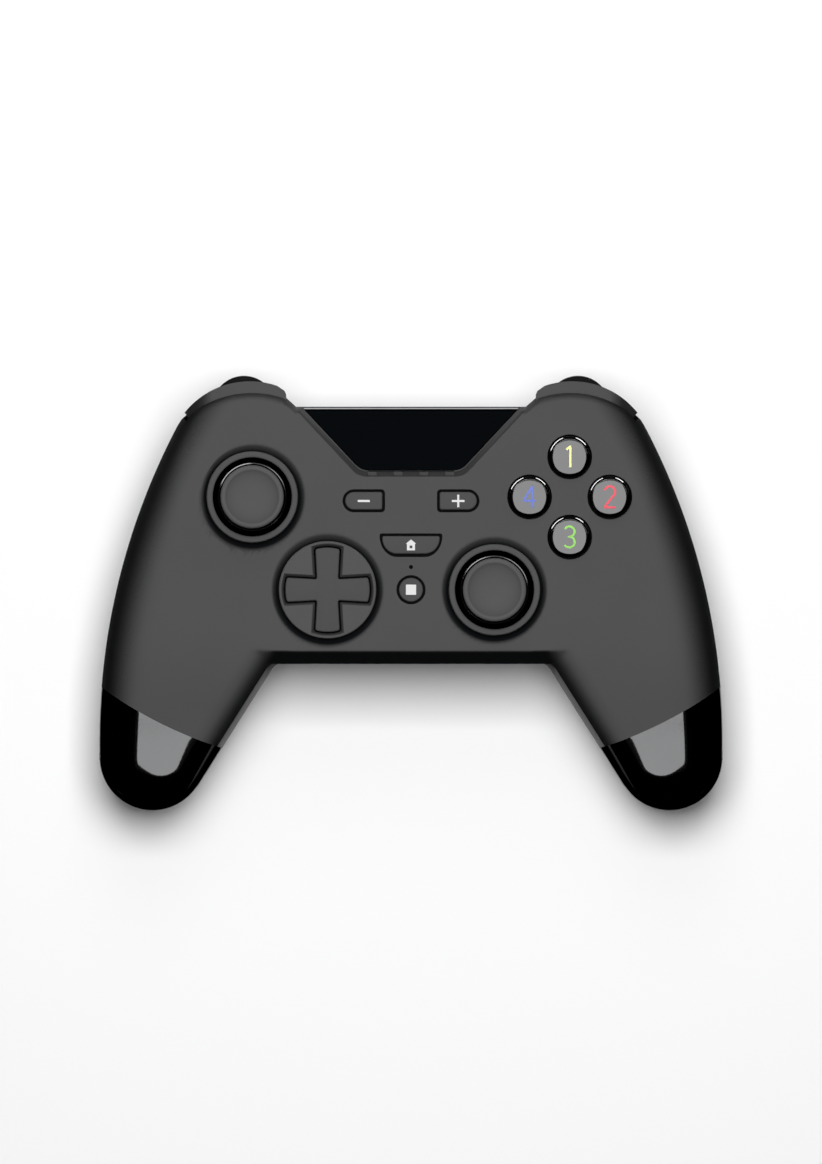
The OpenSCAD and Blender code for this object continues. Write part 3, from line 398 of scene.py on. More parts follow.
def fair_copy(node, width, segments):
    """A merged copy of a solid in millimetres, with its sharp edges rounded."""
    bm = bmesh.new()
    bm.from_mesh(frame["nodes"][node].data)
    bmesh.ops.scale(bm, vec=(1 / MM, 1 / MM, 1 / MM), verts=bm.verts)
    bmesh.ops.remove_doubles(bm, verts=bm.verts, dist=0.002)
    bmesh.ops.dissolve_limit(bm, angle_limit=radians(1.5), verts=bm.verts, edges=bm.edges,
                             delimit={"NORMAL"})
    return soften(bm, width, segments)


def split(bm, place, normal):
    """Cuts every face along a plane, so that a slope or a colour can change there."""
    bmesh.ops.bisect_plane(bm, geom=bm.verts[:] + bm.edges[:] + bm.faces[:], plane_co=place,
                           plane_no=normal)


print("solids that can be copied:", len(frame["nodes"]))

# %% [markdown]
# ## The form of the case
# The case is a pillow with two legs. In plan it is a few arcs and straight lines. Seen from the side it
# is a flat face that rolls off at the edges, by a different radius along each edge. Instead of pushing
# points about by hand, the height is worked out from how far a point lies inside each edge. A grid
# then only has to be laid over the plan and lifted to that height.

# %% Outline of the case
HALF, PART_Z, TOP_H, BELLY, WALL = 76.0, 22.0, 18.0, 12.0, 2.2
FACE_Z = PART_Z + TOP_H
NOTCH_X, NOTCH_W, REAR_Y, FRONT_Y = 28.0, 2.8, 45.5, 17.2
NOTCH_RISE, NOTCH_INSET, NOTCH_COS = 0.893, 1.34, 0.746  # slant of the notch's side
SHOULDER, SHOULDER_R = Vector((38.8, 24.5)), 24.8
SIDE, SIDE_R = Vector((-88.5, -36.0)), 164.5
TIP, TIP_R = Vector((63.0, -40.0)), 13.0
GRIP_N = Vector((0.845, 0.5348))
GRIP_P = TIP - (TIP_R + 0.104) * GRIP_N
SEAM, SEAM_R = Vector((13.6, 63.2)), 106.0
# Reach of the rounding at the sides, inner grips, front and rear, and the power of its curve
UPPER_EDGE, LOWER_EDGE = (12.0, 8.0, 3.2, 1.8, 2.3), (14.0, 10.0, 8.0, 6.0, 2.0)
FRONT_SLOPE = 5.0 / TOP_H
CORNER = 1.6  # reach of the eased inside corner


def ease(t):
    """A soft step from 0 to 1."""
    t = min(max(t, 0.0), 1.0)
    return t * t * (3 - 2 * t)


def root(v):
    """Square root that is 0 below 0."""
    return sqrt(max(v, 0.0))


def rear_line(x, w):
    """Rear edge, inset by w: straight, up the notch, round the shoulder and down the side."""
    line = REAR_Y - w
    slant = REAR_Y + NOTCH_RISE * (x - NOTCH_X) - NOTCH_INSET * w
    arc = SHOULDER.y + root((SHOULDER_R - w) ** 2 - (x - SHOULDER.x) ** 2)
    side = SIDE.y + root((SIDE_R - w) ** 2 - (x - SIDE.x) ** 2)
    if slant < line:
        return line
    return min(slant, arc) if x < 45 else min(arc, side) if x < 60 else side


def front_line(x, w, ledge=0.0):
    """Front edge, with the inner grip edge drawn in by ledge and the inside corner eased."""
    if x > TIP.x - (TIP_R - w) * GRIP_N.x:
        y = TIP.y - root((TIP_R - w) ** 2 - (x - TIP.x) ** 2)
        return y + ledge * ease((TIP.x - x) / 9)
    wall = w - FRONT_Y
    grip = GRIP_P.y - (GRIP_N.x * (x - GRIP_P.x) - w - ledge) / GRIP_N.y
    h = max(CORNER - abs(wall - grip), 0.0) / CORNER
    return min(wall, grip) - h * h * CORNER / 4


print("front edge at", front_line(0, 0), "rear edge at", rear_line(0, 0))

# %% [markdown]
# ## Height of the case
# Each edge takes away a share of the height, by its own curve. Where two edges are near, both shares are
# put together by a power sum, which blends them without a crease. The front of the upper half is a straight
# slope, as on the real pad, and the lower half has a belly for the battery and two full grips.

# %% Height over the plan


def roll(d, r, p):
    """Share of height lost at distance d inside an edge that rolls over r."""
    u = 1 - min(max(d / r, 0.0), 1.0)
    return 1 - (1 - u ** p) ** (1 / p)


def height_lost(p, w, edge):
    """Share of its height that the case has lost at a place in plan, from how near each edge is."""
    v = p - TIP
    side, grip, front, rear, power = edge
    # Round the tip, k runs from 0 at the outer side to 1 at the inner grip
    tipped = v.y < -0.026 * v.x and -GRIP_N.y * v.x + GRIP_N.x * v.y < 0
    reach = lambda r: max(r - w, 0.8)
    if tipped:
        k = min(max((1 - v.x / max(v.length, 0.01)) / 1.845, 0), 1)
        return roll(TIP_R - w - v.length, reach(side + (grip - side) * k), power - 1.4 * k * (1 - k))
    at_side = roll(SIDE_R - (p - SIDE).length - w, reach(side + (4 - side) * ease((p.y - 8) / 32)), power)
    at_grip = roll((p - GRIP_P).dot(GRIP_N) - w, reach(grip), power)
    inside = p.y + FRONT_Y - w
    if edge is UPPER_EDGE:
        # A straight slope along the front edge, with an upright wall below it
        at_front = min(at_grip, FRONT_SLOPE * max(1 - inside / reach(front), 0) if inside > 0 else 1)
    else:
        at_front = at_grip * roll(inside, reach(front), 3)
    at_rear = 0.0
    if p.y > 20 and p.x < 62:
        if p.x < NOTCH_X:
            inside = REAR_Y - p.y
        elif p.x < NOTCH_X + NOTCH_W:
            inside = NOTCH_COS * (rear_line(p.x, 0) - p.y)
        else:
            inside = SHOULDER_R - (p - SHOULDER).length
        at_rear = roll(inside - w, reach(rear), 2.5)
    return min(1.0, (at_side ** 2.5 + at_front ** 2.5 + at_rear ** 2.5) ** 0.4)


def segment_distance(p, a, b):
    """Distance of a place from the line between two others."""
    t = min(max((p - a).dot(b - a) / (b - a).length_squared, 0), 1)
    return (p - a - (b - a) * t).length


def case_height(x, y, upper, w):
    """Height of one half of the case, w inside its skin."""
    p = Vector((abs(x), y))
    if upper:
        # The face falls by 6 towards the grips and by 1.5 towards the sides
        rise = TOP_H - 6 * ease((-12 - y) / 38) - 1.5 * (max(p.x - 30, 0) / 46) ** 2
        return PART_Z + (rise - w) * (1 - height_lost(p, w, UPPER_EDGE))
    # The hump holds the battery, and the bulge fills the hand
    hump = ease((38 - p.x) / 12) * ease((y + 4) / 12) * ease((46 - y) / 12)
    bulge = ease((27 - segment_distance(p, Vector((58, -24)), Vector((62, -36)))) / 20)
    depth = BELLY + 10.6 * (1 - (1 - hump) * (1 - bulge))
    return max(PART_Z - (depth - w) * (1 - height_lost(p, w, LOWER_EDGE)), w)


print("face at", case_height(0, 0, True, 0), "belly at", case_height(0, 20, False, 0))

# %% [markdown]
# ## Sheets for the case
# A grid from `create_grid` is laid over the plan: its columns go to chosen places across the width,
# closer together towards the rounded tips, and its rows run from the front edge to the rear edge. Each
# case half is an outer and an inner sheet, bridged along the rim, so that it is closed and can be cut.

# %% Lay a grid over the plan
STICK_L, STICK_R, PAD = (-38.6, 23.45), (20.3, 0.87), (-20.3, 0.87)
RINGS = (STICK_L, 11.2), (STICK_R, 11.2), (PAD, 11.97)
NOTCH_END = NOTCH_X + NOTCH_W
right_columns = [NOTCH_X * k / 28 for k in range(29)] + [NOTCH_X + NOTCH_W * k / 4 for k in range(1, 5)]
right_columns += [NOTCH_END + 9.2 * k / 36 for k in range(1, 37)] + [40 + 16 * k / 19 for k in range(1, 20)]
right_columns += [56 + 20 * sin(pi / 2 * k / 36) for k in range(1, 37)]
all_columns = [-x for x in right_columns[:0:-1]] + right_columns
ROWS = 96
RIM_GAP, RIM_INSET = 0.04, 0.12  # the fine line where the two halves meet


def sheet(columns, upper, w, ledge=0.0, lines=0.0):
    """One skin of the case, as a grid laid over the plan and lifted."""
    bm = bmesh.new()
    count = len(columns) - 1
    bmesh.ops.create_grid(bm, x_segments=count, y_segments=ROWS, size=0.5)
    shrink = (HALF - w) / HALF
    for v in bm.verts:
        column = round((v.co.x + 0.5) * count)
        row = round((v.co.y + 0.5) * ROWS)
        x = columns[column] * shrink
        front, rear = front_line(abs(x), w, ledge), rear_line(abs(x), w)
        share = (1 - cos(pi * row / ROWS)) / 2
        y = front + (rear - front) * share
        rim = row in (0, ROWS) or abs(x) > (HALF - w) * 0.99999
        z = PART_Z if rim else case_height(x, y, upper, w)
        if rim:
            z += lines if upper else -lines
            mid = (front + rear) / 2
            y += RIM_INSET * (1 if y < mid else -1) if lines else 0
        v.co = (x, y, z)
    bmesh.ops.recalc_face_normals(bm, faces=bm.faces)
    want = 1 if upper else -1
    if sum(f.normal.z for f in bm.faces) * want < 0:
        bmesh.ops.reverse_faces(bm, faces=bm.faces)
    return bm


def case_half(upper):
    """Outer and inner sheet, bridged along the rim."""
    outer = sheet(all_columns, upper, 0.0, ledge=1.2 if upper else 0.0, lines=RIM_GAP)
    inner = sheet(all_columns, upper, WALL, ledge=0.6 if upper else 0.0)
    bmesh.ops.reverse_faces(inner, faces=inner.faces)
    whole = joined(outer, inner)
    bmesh.ops.bridge_loops(whole, edges=[e for e in whole.edges if e.is_boundary])
    bmesh.ops.recalc_face_normals(whole, faces=whole.faces)
    return whole


print("columns over the plan:", len(all_columns))

# %% [markdown]
# ## Openings
# The real case is moulded with its openings. Here they are cutters, taken out in one boolean. Each outline
# is a function of how far it grows, so the opening, the key in it and the collar under it share one drawing.

# %% Outlines of the openings
MENU_X, MENU_Y = 11.49, 22.5


def circle(centre, r, steps=72):
    """Points round a circle."""
    turns = [2 * pi * k / steps for k in range(steps)]
    return [(centre[0] + r * cos(t), centre[1] + r * sin(t)) for t in turns]


def bar(x, y, a, b):
    """A rectangle about a place, by its half width and half height."""
    return [(x - a, y - b), (x + a, y - b), (x + a, y + b), (x - a, y + b)]


def flip(outline):
    """The same outline on the other side."""
    return [(-x, y) for x, y in reversed(outline)]


def minus_outline(grow):
    """A key with one round end and two small corners."""
    w = 2.8 + grow
    left, right = -16.66 - grow, -6.32 + grow
    end = [(left + w - w * sin(pi * k / 24), MENU_Y + w * cos(pi * k / 24)) for k in range(25)]
    r = 0.9 + grow / 2
    low = [(right - r + r * sin(a), MENU_Y - w + r - r * cos(a)) for a in (0, 0.4, 0.8, 1.2, pi / 2)]
    return end + low + [(x, 2 * MENU_Y - y) for x, y in reversed(low)]


def home_outline(grow, lift=0.0):
    """A shallow bowl: straight top, sides that curve in, straight foot."""
    a, top, foot, flat = 7.65 + grow, 14.57 + grow, 8.83 - grow + lift, 3.4
    right = [(a - 0.5, top), (a - 0.12, top - 0.14), (a, top - 0.55)]
    right += [(flat + (a - flat) * cos(t), foot + (top - 0.55 - foot) * (1 - sin(t)))
              for t in [pi / 2 * k / 14 for k in range(1, 15)]]
    return right + flip(right)


def panel_outline(grow):
    """The black panel: a straight front, rounded corners and slanting sides."""
    lean = grow * 1.365
    corner = Vector((12.1 + lean - grow * 0.94, 30 - grow))
    a, b = corner - Vector((2.0, 0)), corner + Vector((1.4, 1.493))
    right = [(1 - t) ** 2 * a + 2 * t * (1 - t) * corner + t * t * b for t in [k / 8 for k in range(9)]]
    right += [Vector((26.6 + lean, REAR_Y)), Vector((30 + lean, REAR_Y + 3.6))]
    return [tuple(v) for v in right] + flip(right)


print("panel corners:", len(panel_outline(0)))

# %% [markdown]
# ## Shoulders and seam
# Each shoulder is open for its bumper and, below it, for its trigger. The grey case ends at the grips in
# one long arc. These cutters are prisms too, drawn for the right side and mirrored.

# %% Cutters for shoulders and seam
BAY_R, BAY_END, BAY_LOW, BAY_TOP = 18.2, 47.5, 27.3, 36.8
TRIGGER_GATE = [(34.8, 41.6), (48.9, 41.6), (48.9, 58), (34.8, 58)]


def at_angle(r, degrees):
    """A place round the centre of the right shoulder."""
    return SHOULDER + r * Vector((cos(radians(degrees)), sin(radians(degrees))))


def shoulder_cutters():
    """Room for the bumper and the trigger in the right shoulder."""
    inner = [tuple(at_angle(BAY_R, a)) for a in range(48, 106, 2)]
    slot = [tuple(at_angle(BAY_R, BAY_END)), tuple(at_angle(34, BAY_END)), (66, 59.4), (30.2, 59.4),
            (30.2, 42.0)]
    bay = prism(slot + [p for p in reversed(inner) if p[0] > 30.3], BAY_LOW, BAY_TOP)
    hub = prism(circle((32, 43.4), 2.5, 32), BAY_LOW, BAY_TOP)
    return [bay, hub, prism(TRIGGER_GATE, 15, 27.6)]


def seam_cutter():
    """All that lies beyond the arc where the right grip end starts."""
    arc = [(SEAM.x + SEAM_R * cos(radians(a)), SEAM.y + SEAM_R * sin(radians(a)))
           for a in [-84 + 44 * k / 120 for k in range(121)]]
    return prism(arc + [(110, -5), (110, -90), (20, -90)], -10, 70)


print("bumper bay from", BAY_LOW, "to", BAY_TOP)

# %% [markdown]
# ## Upper case
# The holes for the rings are turned shapes that widen at the top, because the real face dips round each
# ring. The opening for the panel has a sloping edge: a prism whose top is wider than its foot, split into
# level bands so that the painted shade and the painted highlight can change along the slope.

# %% Cut the upper case
FACE = [(38.6, 33.2), (48.35, 23.45), (38.6, 13.7), (28.85, 23.45)]
CAPTURE, CAPTURE_R, STATUS = (0, 0.87), 3.55, (0, 6.4)
THROUGH = 30, 60  # heights of a cutter that goes right through the face


def ring_seat(centre, r):
    """A round hole whose top widens, for a ring."""
    return turned([(0, 30), (r, 30), (r, 39.1), (r + 0.5, 39.25), (r + 1.2, 39.648), (r + 2.7, 40.5),
                   (0, 40.5)], centre, 128)


def frustum(low_outline, low, high_outline, high):
    """A prism whose top outline is wider than its foot."""
    bm = prism(low_outline, low, high)
    foot = [Vector(p) for p in low_outline]
    for v in bm.verts:
        if v.co.z > (low + high) / 2:
            k = min(range(len(foot)), key=lambda i: (v.co.xy - foot[i]).length)
            v.co.x, v.co.y = high_outline[k]
    return bm


cutters = [ring_seat(*ring) for ring in RINGS]
cutters += [prism(circle(centre, 5.45, 96), *THROUGH) for centre in FACE]
holes = [minus_outline(0), flip(minus_outline(0)), home_outline(0), circle(CAPTURE, CAPTURE_R),
         circle(STATUS, 0.5, 32)]
cutters += [prism(hole, *THROUGH) for hole in holes]
panel_slope = frustum(panel_outline(0.15), 38.6, panel_outline(1.85), 40.15)
# Bands where the painted shade and the painted highlight change
for level in (38.75, 38.9, 39.1, 39.85, 39.93):
    split(panel_slope, (0, 0, level), (0, 0, 1))
cutters += [prism(panel_outline(0.15), 20, 39.3), panel_slope]
cutters += [prism(bar(x, 29.1, 1.2, 0.55), 30, 50) for x in (-9.45, -3.15, 3.15, 9.45)]
for cutter in shoulder_cutters():
    cutters += [cutter, mirrored(cutter)]
seam = seam_cutter()
cutters += [mirrored(seam), seam]
upper_case = piece("case_upper", carved(case_half(True), cutters), ["top_shell"], case_grey)
print("upper case faces:", len(upper_case.data.polygons))

# %% [markdown]
# ## Painted shade on the upper case
# The face is grey. Painted shade takes the grey away down the sides, at the front edge, round the rings and
# inside the openings, and a painted highlight brings it back as a line beside the panel. Each is a number
# from 0 to 1, worked out from the distance to an edge, and the painted light is their product.

# %% Painted shade of the upper case


def ramp(d, start, width):
    """0 up to start, then softly up to 1 over the width."""
    return ease((d - start) / width)


def painted_case_shade(x, y, z):
    """How much of the grey is left at a place on the upper case, under painted shade and a painted highlight.
    """
    p = Vector((abs(x), y))
    # Painted shade down the sides, at the front edge and along the inner grips
    side = ramp(SIDE_R - (p - SIDE).length, 0.6, 8.6)
    front = ramp(y + FRONT_Y, 3.0, 0.3)
    grip = ramp((p - GRIP_P).dot(GRIP_N), 1.0, 4.5)
    # A painted shadow round each ring, wider on its front side
    ring = min(ramp(hypot(x - centre[0], y - centre[1] + 0.6) - r, 0.5, 1.3) for centre, r in RINGS)
    # Painted shade inside the openings
    below = case_height(x, y, True, 0) - z
    deep = 1 - 0.55 * ramp(below, 0, 0.15) - 0.45 * ramp(below, 0.9, 0.6)
    # A painted highlight along the slanting sides of the panel
    painted_highlight_line = 38.5 < z < 38.8 and 10.6 < p.x < 31 and y > 29  # along the slanting sides of the panel
    # Painted shade along the shoulder beside the bumper
    rear = 1.0
    if p.y > 35 and p.x > NOTCH_X:
        rear = 0.66 + 0.34 * ramp(SHOULDER_R - (p - SHOULDER).length, 1.5, 0.9)
    return side * (1 - (1 - front) * (1 - grip)) * ring * (1.0 if painted_highlight_line else deep) * rear


set_painted_light(upper_case, painted_case_shade)
print("fade in the middle of the face:", painted_case_shade(0, 18, FACE_Z))

# %% [markdown]
# ## Lower case
# The underside is the same kind of sheet, with a flat belly for the battery and two full grips. Four
# wells take the case screws, and each shoulder is open for its trigger.

# %% Cut the lower case
SCREWS = (60, 12, 15), (44.5, -21, 10)  # place in plan and height of the seat
cutters = []
for x, y, seat in SCREWS:
    well = prism(circle((x, y), 2.7, 48), -5, seat)
    cutters += [well, mirrored(well)]
gate = prism(TRIGGER_GATE, -5, 35)
seam = seam_cutter()
cutters += [gate, mirrored(gate), mirrored(seam), seam]
lower_case = piece("case_lower", carved(case_half(False), cutters), ["bottom_shell"], under_black)


def painted_lit_ledge(x, y, z):
    """A painted highlight on the narrow ledge along the inner edge of the grips only."""
    near = (Vector((abs(x), y)) - GRIP_P).dot(GRIP_N) < 2.6 and y < -FRONT_Y + 1.5
    return ramp(z - PART_Z, -0.3, 0.2) if near else 0.0


set_painted_light(lower_case, painted_lit_ledge)
print("lower case faces:", len(lower_case.data.polygons))

# %% [markdown]
# ## Glossy grip ends
# Each grip ends in a polished black cup that meets the grey case along one long arc. It follows the same
# form as the case, so the same sheets make it: upper and lower, outer and inner, closed at the cut side.

# %% Make the grip ends


def grip_end():
    """The right grip end, cut off along the seam."""
    columns = [x for x in right_columns if x > 41]
    skins = []
    for w in (0.0, WALL):
        for upper in (True, False):
            skin = sheet(columns, upper, w)
            if w:
                bmesh.ops.reverse_faces(skin, faces=skin.faces)
            skins.append(skin)
    whole = joined(*skins)
    bmesh.ops.remove_doubles(whole, verts=whole.verts, dist=WELD)
    bmesh.ops.bridge_loops(whole, edges=[e for e in whole.edges if e.is_boundary])
    bmesh.ops.recalc_face_normals(whole, faces=whole.faces)
    return carved(whole, [prism(circle(SEAM, SEAM_R, 720), -20, 80)])


right_end = grip_end()
left_end = mirrored(right_end)
piece("grip_end_right", right_end, ["right_grip_cap"], cap_gloss, sharp=40)
piece("grip_end_left", left_end, ["left_grip_cap"], cap_gloss, sharp=40)

# %% [markdown]
# ## Rear panel
# A black panel folds over the rear edge and carries the charging socket. It is a plain moulding, so a
# merged copy of its solid with rounded edges is enough. A thin painted highlight runs along the slope at its
# rear edge. The panel's painted light carries that line, so the faces are split just outside and just inside
# it first.

# %% Round the panel
# Where the painted highlight runs, measured from the rear edge
PAINTED_LINE_FROM, PAINTED_LINE_TO = 0.25, 0.55  # the light line, from the rear edge
panel_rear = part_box("rear_panel")[1][1] / MM
panel_shape = fair_copy("rear_panel", 0.5, 6)
for inset in (0.23, 0.28, 0.53, 0.58):
    split(panel_shape, (0, panel_rear - inset, 0), (0, 1, 0))
panel = piece("panel_black", panel_shape, ["rear_panel"], panel_gloss)
set_painted_light(panel, lambda x, y, z: float(PAINTED_LINE_FROM < panel_rear - y < PAINTED_LINE_TO and z > 35))
print("panel rear edge at", round(panel_rear, 2))

# %% [markdown]
# ## Thumb sticks
# Ring, dome and cap are all turned shapes, so each is a profile spun round the stick's own axis. The
# cap has a raised rim and a shallow dish for the thumb. The dome below it is polished and slides
# under the ring when the stick tilts. A low step on the dome catches the light as a thin arc.

# %% Spin the sticks
PIVOT_Z, DOME_OUT, DOME_IN, LEVER_R = 33.0, 10.9, 9.9, 1.4


def stick_ring(centre):
    """Profile from the foot of the bore up over the crown and down the outside."""
    bore = [(10.76, 36.3), (10.4, 37.5), (9.9, 38.5), (9.6, 39.1), (9.6, 41.6)]
    crown = [(9.64, 41.73), (9.75, 41.79), (10.0, 41.8), (10.75, 41.8), (10.95, 41.77), (11.06, 41.68)]
    outside = [(11.1, 41.5), (11.1, 37.2), (13.2, 37.2), (13.2, 36.3)]
    return turned(bore + crown + outside, centre, 128, closed=True)


def stick_dome(centre):
    """A polished shell about the pivot, with a low step just outside the cap."""
    first, last = asin(LEVER_R / DOME_OUT), radians(80)
    angles = [first + (last - first) * k / 28 for k in range(29)]
    outer = [(DOME_OUT * sin(a), PIVOT_Z + DOME_OUT * cos(a)) for a in angles]
    step = [(8.05, 40.345), (8.27, 40.265), (8.32, 40.03)]
    outer = [p for p in outer if p[0] < 8.0] + step + [p for p in outer if p[0] > 8.4]
    inner = [(DOME_IN * sin(a), PIVOT_Z + DOME_IN * cos(a)) for a in reversed(angles)]
    return turned(outer + inner, centre, 96, closed=True)


def stick_cap(centre):
    """Dish, rim, side, neck and the socket for the lever."""
    dish = [(6.45 * k / 10, 48.55 + 0.72 * (k / 10) ** 2) for k in range(11)]
    rim = [(6.62, 49.36), (6.85, 49.4), (7.1, 49.4), (7.4, 49.33), (7.6, 49.12), (7.7, 48.8)]
    under = [(7.7, 46.9), (7.62, 46.55), (7.4, 46.3), (7.1, 46.2), (3.8, 46.2), (3.5, 46.0), (3.4, 45.7)]
    socket = [(3.4, 43.42), (1.36, 43.9), (1.36, 47.6), (0, 47.6)]
    return turned(dish + rim + under + socket, centre, 96)


def cap_painted_shade(r, z):
    """Painted shade and highlight on the cap: the dish darkens towards its edge, the rim is the lightest, and
    the sides are dark.
    """
    if r < 6.5:
        return 0.92 - 0.35 * (r / 6.5) ** 4
    return ramp(z, 48.2, 1.0)


for side, centre in (("left", STICK_L), ("right", STICK_R)):
    piece(f"stick_ring_{side}", stick_ring(centre), [f"{side}_stick_bezel"], ring_grey, sharp=50)
    piece(f"stick_dome_{side}", stick_dome(centre), [f"{side}_stick_skirt"], skirt_gloss, sharp=15)
    cap = piece(f"stick_cap_{side}", stick_cap(centre), [f"{side}_stick_cap"], stick_rubber, sharp=50)
    set_painted_light(cap, lambda x, y, z: cap_painted_shade(hypot(x - centre[0], y - centre[1]), z))
print("sticks done")

# %% [markdown]
# ## Cross pad
# The cross sits in a round insert, in a groove with a sloping edge. Its arms flare towards their ends,
# which follow a circle. One outline, grown a little for the opening and more for the slope, gives all
# three shapes.

# %% Cross and its insert
# Half width of an arm and reach of its end, for the cross, its opening and the slope round that
CROSS, GROOVE, SLOPE = (2.6, 10.3), (2.95, 10.65), (3.65, 11.3)
FLARE = 0.405  # how far each side of an arm widens towards its end


def cross_outline(w, l):
    """Four arms with half width w, whose flared ends follow a circle of radius l."""
    points = []
    half = asin((w + FLARE) / l)
    for arm in range(4):
        a = arm * pi / 2
        points += [(l * cos(a + half * k / 5), l * sin(a + half * k / 5)) for k in range(-5, 6)]
        points.append((w * cos(a) - w * sin(a), w * sin(a) + w * cos(a)))
    return [(x + PAD[0], y + PAD[1]) for x, y in points]


def only_corners(bm, r):
    """Rounds the upright corners of a cross, but not the facets of its curved ends."""
    return soften(bm, r, 4, 40, lambda e: abs(e.verts[0].co.z - e.verts[1].co.z) > 1.5)


insert = turned([(0, 36.3), (13.4, 36.3), (13.4, 37.7), (11.87, 37.7), (11.87, 40.85), (11.82, 41.06),
                 (11.68, 41.17), (11.5, 41.2), (0, 41.2)], PAD, 128)
groove = only_corners(prism(cross_outline(*GROOVE), 37, 45), 0.5)
slope = frustum(cross_outline(*GROOVE), 40.55, cross_outline(*SLOPE), 41.25)
hollow = turned([(0, 36), (11.3, 36), (11.3, 38.6), (0, 38.6)], PAD, 96)
pad_insert = piece("pad_insert", carved(insert, [groove, slope, hollow]), ["dpad_bezel"], pad_grey, sharp=28)
# Painted shade in the groove and down the sides of the insert
set_painted_light(pad_insert, lambda x, y, z: ramp(z, 40.4, 0.5))
cross = soften(only_corners(prism(cross_outline(*CROSS), 36.4, 41.6), 0.45), 0.45, 3, 50,
               lambda e: min(v.co.z for v in e.verts) > 41.5)
plate = turned([(2.5, 35.4), (10.6, 35.4), (10.6, 36.5), (2.5, 36.5)], PAD, 96, closed=True)
foot_profile = [(0, 33.7), (1.0, 33.7), (1.2, 33.9), (1.2, 35.5), (0, 35.5)]
feet = [turned(foot_profile, (PAD[0] + 8 * cos(a), PAD[1] + 8 * sin(a)), 32)
        for a in (0, pi / 2, pi, 3 * pi / 2)]
pad_cross = piece("pad_cross", joined(cross, plate, *feet), ["dpad_cross"], key_grey)
# Painted shade down the sides of the arms
set_painted_light(pad_cross, lambda x, y, z: ramp(z, 41.2, 0.3))
print("cross pad done")

# %% [markdown]
# ## Face buttons
# Four polished domes stand in round openings. A profile is spun for each, from the crown over the rounded
# edge to the foot on the rubber mat. Painted shade keeps their lower parts dark.

# %% Profile of a button
DOME_R, DOME_TOP, LIP_R = 20.0, 42.6, 4.25


def dome_height(r):
    """Height of a button's dome at a distance from its middle."""
    return DOME_TOP - DOME_R + sqrt(DOME_R ** 2 - r * r)


def face_button(centre):
    """Crown, rounded edge, and the collar and foot under the case."""
    crown = [(LIP_R * k / 12, dome_height(LIP_R * k / 12)) for k in range(13)]
    lip = dome_height(LIP_R)
    edge = [(4.32, lip - 0.03), (4.42, lip - 0.09), (4.9, lip - 0.44), (5.03, lip - 0.58), (5.1, lip - 0.8),
            (5.1, lip - 1.2)]
    foot = [(5.1, 37.1), (6.0, 37.1), (6.2, 36.9), (6.2, 36.0), (3.0, 36.0), (3.0, 33.4), (2.8, 33.2),
            (0, 33.2)]
    return turned(crown + edge + foot, centre, 96)


print("edge of a dome at", round(dome_height(LIP_R), 3))

# %% [markdown]
# ## Numbers on the buttons
# Each button carries a coloured sign that lies under the polish. The signs here are plain numbers. Each is
# drawn as a line, given thickness as a curve, turned into a mesh, and pressed flat on the dome.

# %% Buttons with their numbers


def arc(cx, cy, r, first, last, steps=14):
    """Points along an arc, between two angles in degrees."""
    turns = [radians(first + (last - first) * k / steps) for k in range(steps + 1)]
    return [(cx + r * cos(t), cy + r * sin(t)) for t in turns]


STROKE, SUNK, RAISED, TALL = 0.34, 0.045, 0.075, 2.56  # TALL is half the height of a figure
FIGURES = {"1": [(-0.8, 1.75), (0.15, TALL), (0.15, -TALL)],
           "2": arc(0, 1.25, 1.31, 165, -35) + [(-1.36, -TALL), (1.36, -TALL)],
           "3": arc(-0.1, 1.3, 1.26, 150, -75) + [(-0.3, 0.04)] + arc(-0.1, -1.26, 1.3, 75, -150),
           "4": [(0.6, -TALL), (0.6, TALL), (-1.5, -0.95), (1.45, -0.95)]}


def number_mark(figure, centre):
    """A figure drawn as one flat cord and laid on the dome."""
    curve = bpy.data.curves.new("number", "CURVE")
    curve.dimensions = "3D"
    curve.bevel_depth, curve.bevel_resolution, curve.use_fill_caps = STROKE, 3, True
    path = [Vector(p) for p in FIGURES[figure]]
    line = [path[0]]
    for a, b in zip(path, path[1:]):
        parts = max(round((b - a).length / 0.35), 1)
        line += [a + (b - a) * k / parts for k in range(1, parts + 1)]
    spline = curve.splines.new("POLY")
    spline.points.add(len(line) - 1)
    for point, place in zip(spline.points, line):
        point.co = (*place, 0, 1)
    holder = bpy.data.objects.new("number", curve)
    scene.collection.objects.link(holder)
    graph = bpy.context.evaluated_depsgraph_get()
    mesh = bpy.data.meshes.new_from_object(holder.evaluated_get(graph))
    bpy.data.objects.remove(holder)
    bm = bmesh.new()
    bm.from_mesh(mesh)
    bpy.data.meshes.remove(mesh)
    bmesh.ops.remove_doubles(bm, verts=bm.verts, dist=0.001)
    for v in bm.verts:
        v.co.z = dome_height(hypot(v.co.x, v.co.y)) - SUNK + RAISED * v.co.z / STROKE
    bmesh.ops.recalc_face_normals(bm, faces=bm.faces)
    bmesh.ops.translate(bm, verts=bm.verts, vec=(*centre, 0))
    return bm


number_ink = {"1": (0.88, 0.95, 0.38), "2": (0.80, 0.11, 0.14), "3": (0.30, 0.66, 0.15),
              "4": (0.16, 0.21, 0.60)}
for name, figure, centre in zip(("north", "east", "south", "west"), "1234", FACE):
    node = f"face_button_{name}"
    button = piece(f"button_{figure}", face_button(centre), [node], button_gloss, sharp=40)
    # Painted shade on the edge and foot of each button
    set_painted_light(button, lambda x, y, z: ramp(z, 39.5, 1.2))
    ink = moulded(f"ink_{figure}", number_ink[figure], 0.4, grain=0.2, bump=0.001, wander=0.03, specular=0.05)
    piece(f"number_{figure}", number_mark(figure, centre), [node], ink, body=body_of[node])
print("face buttons done")

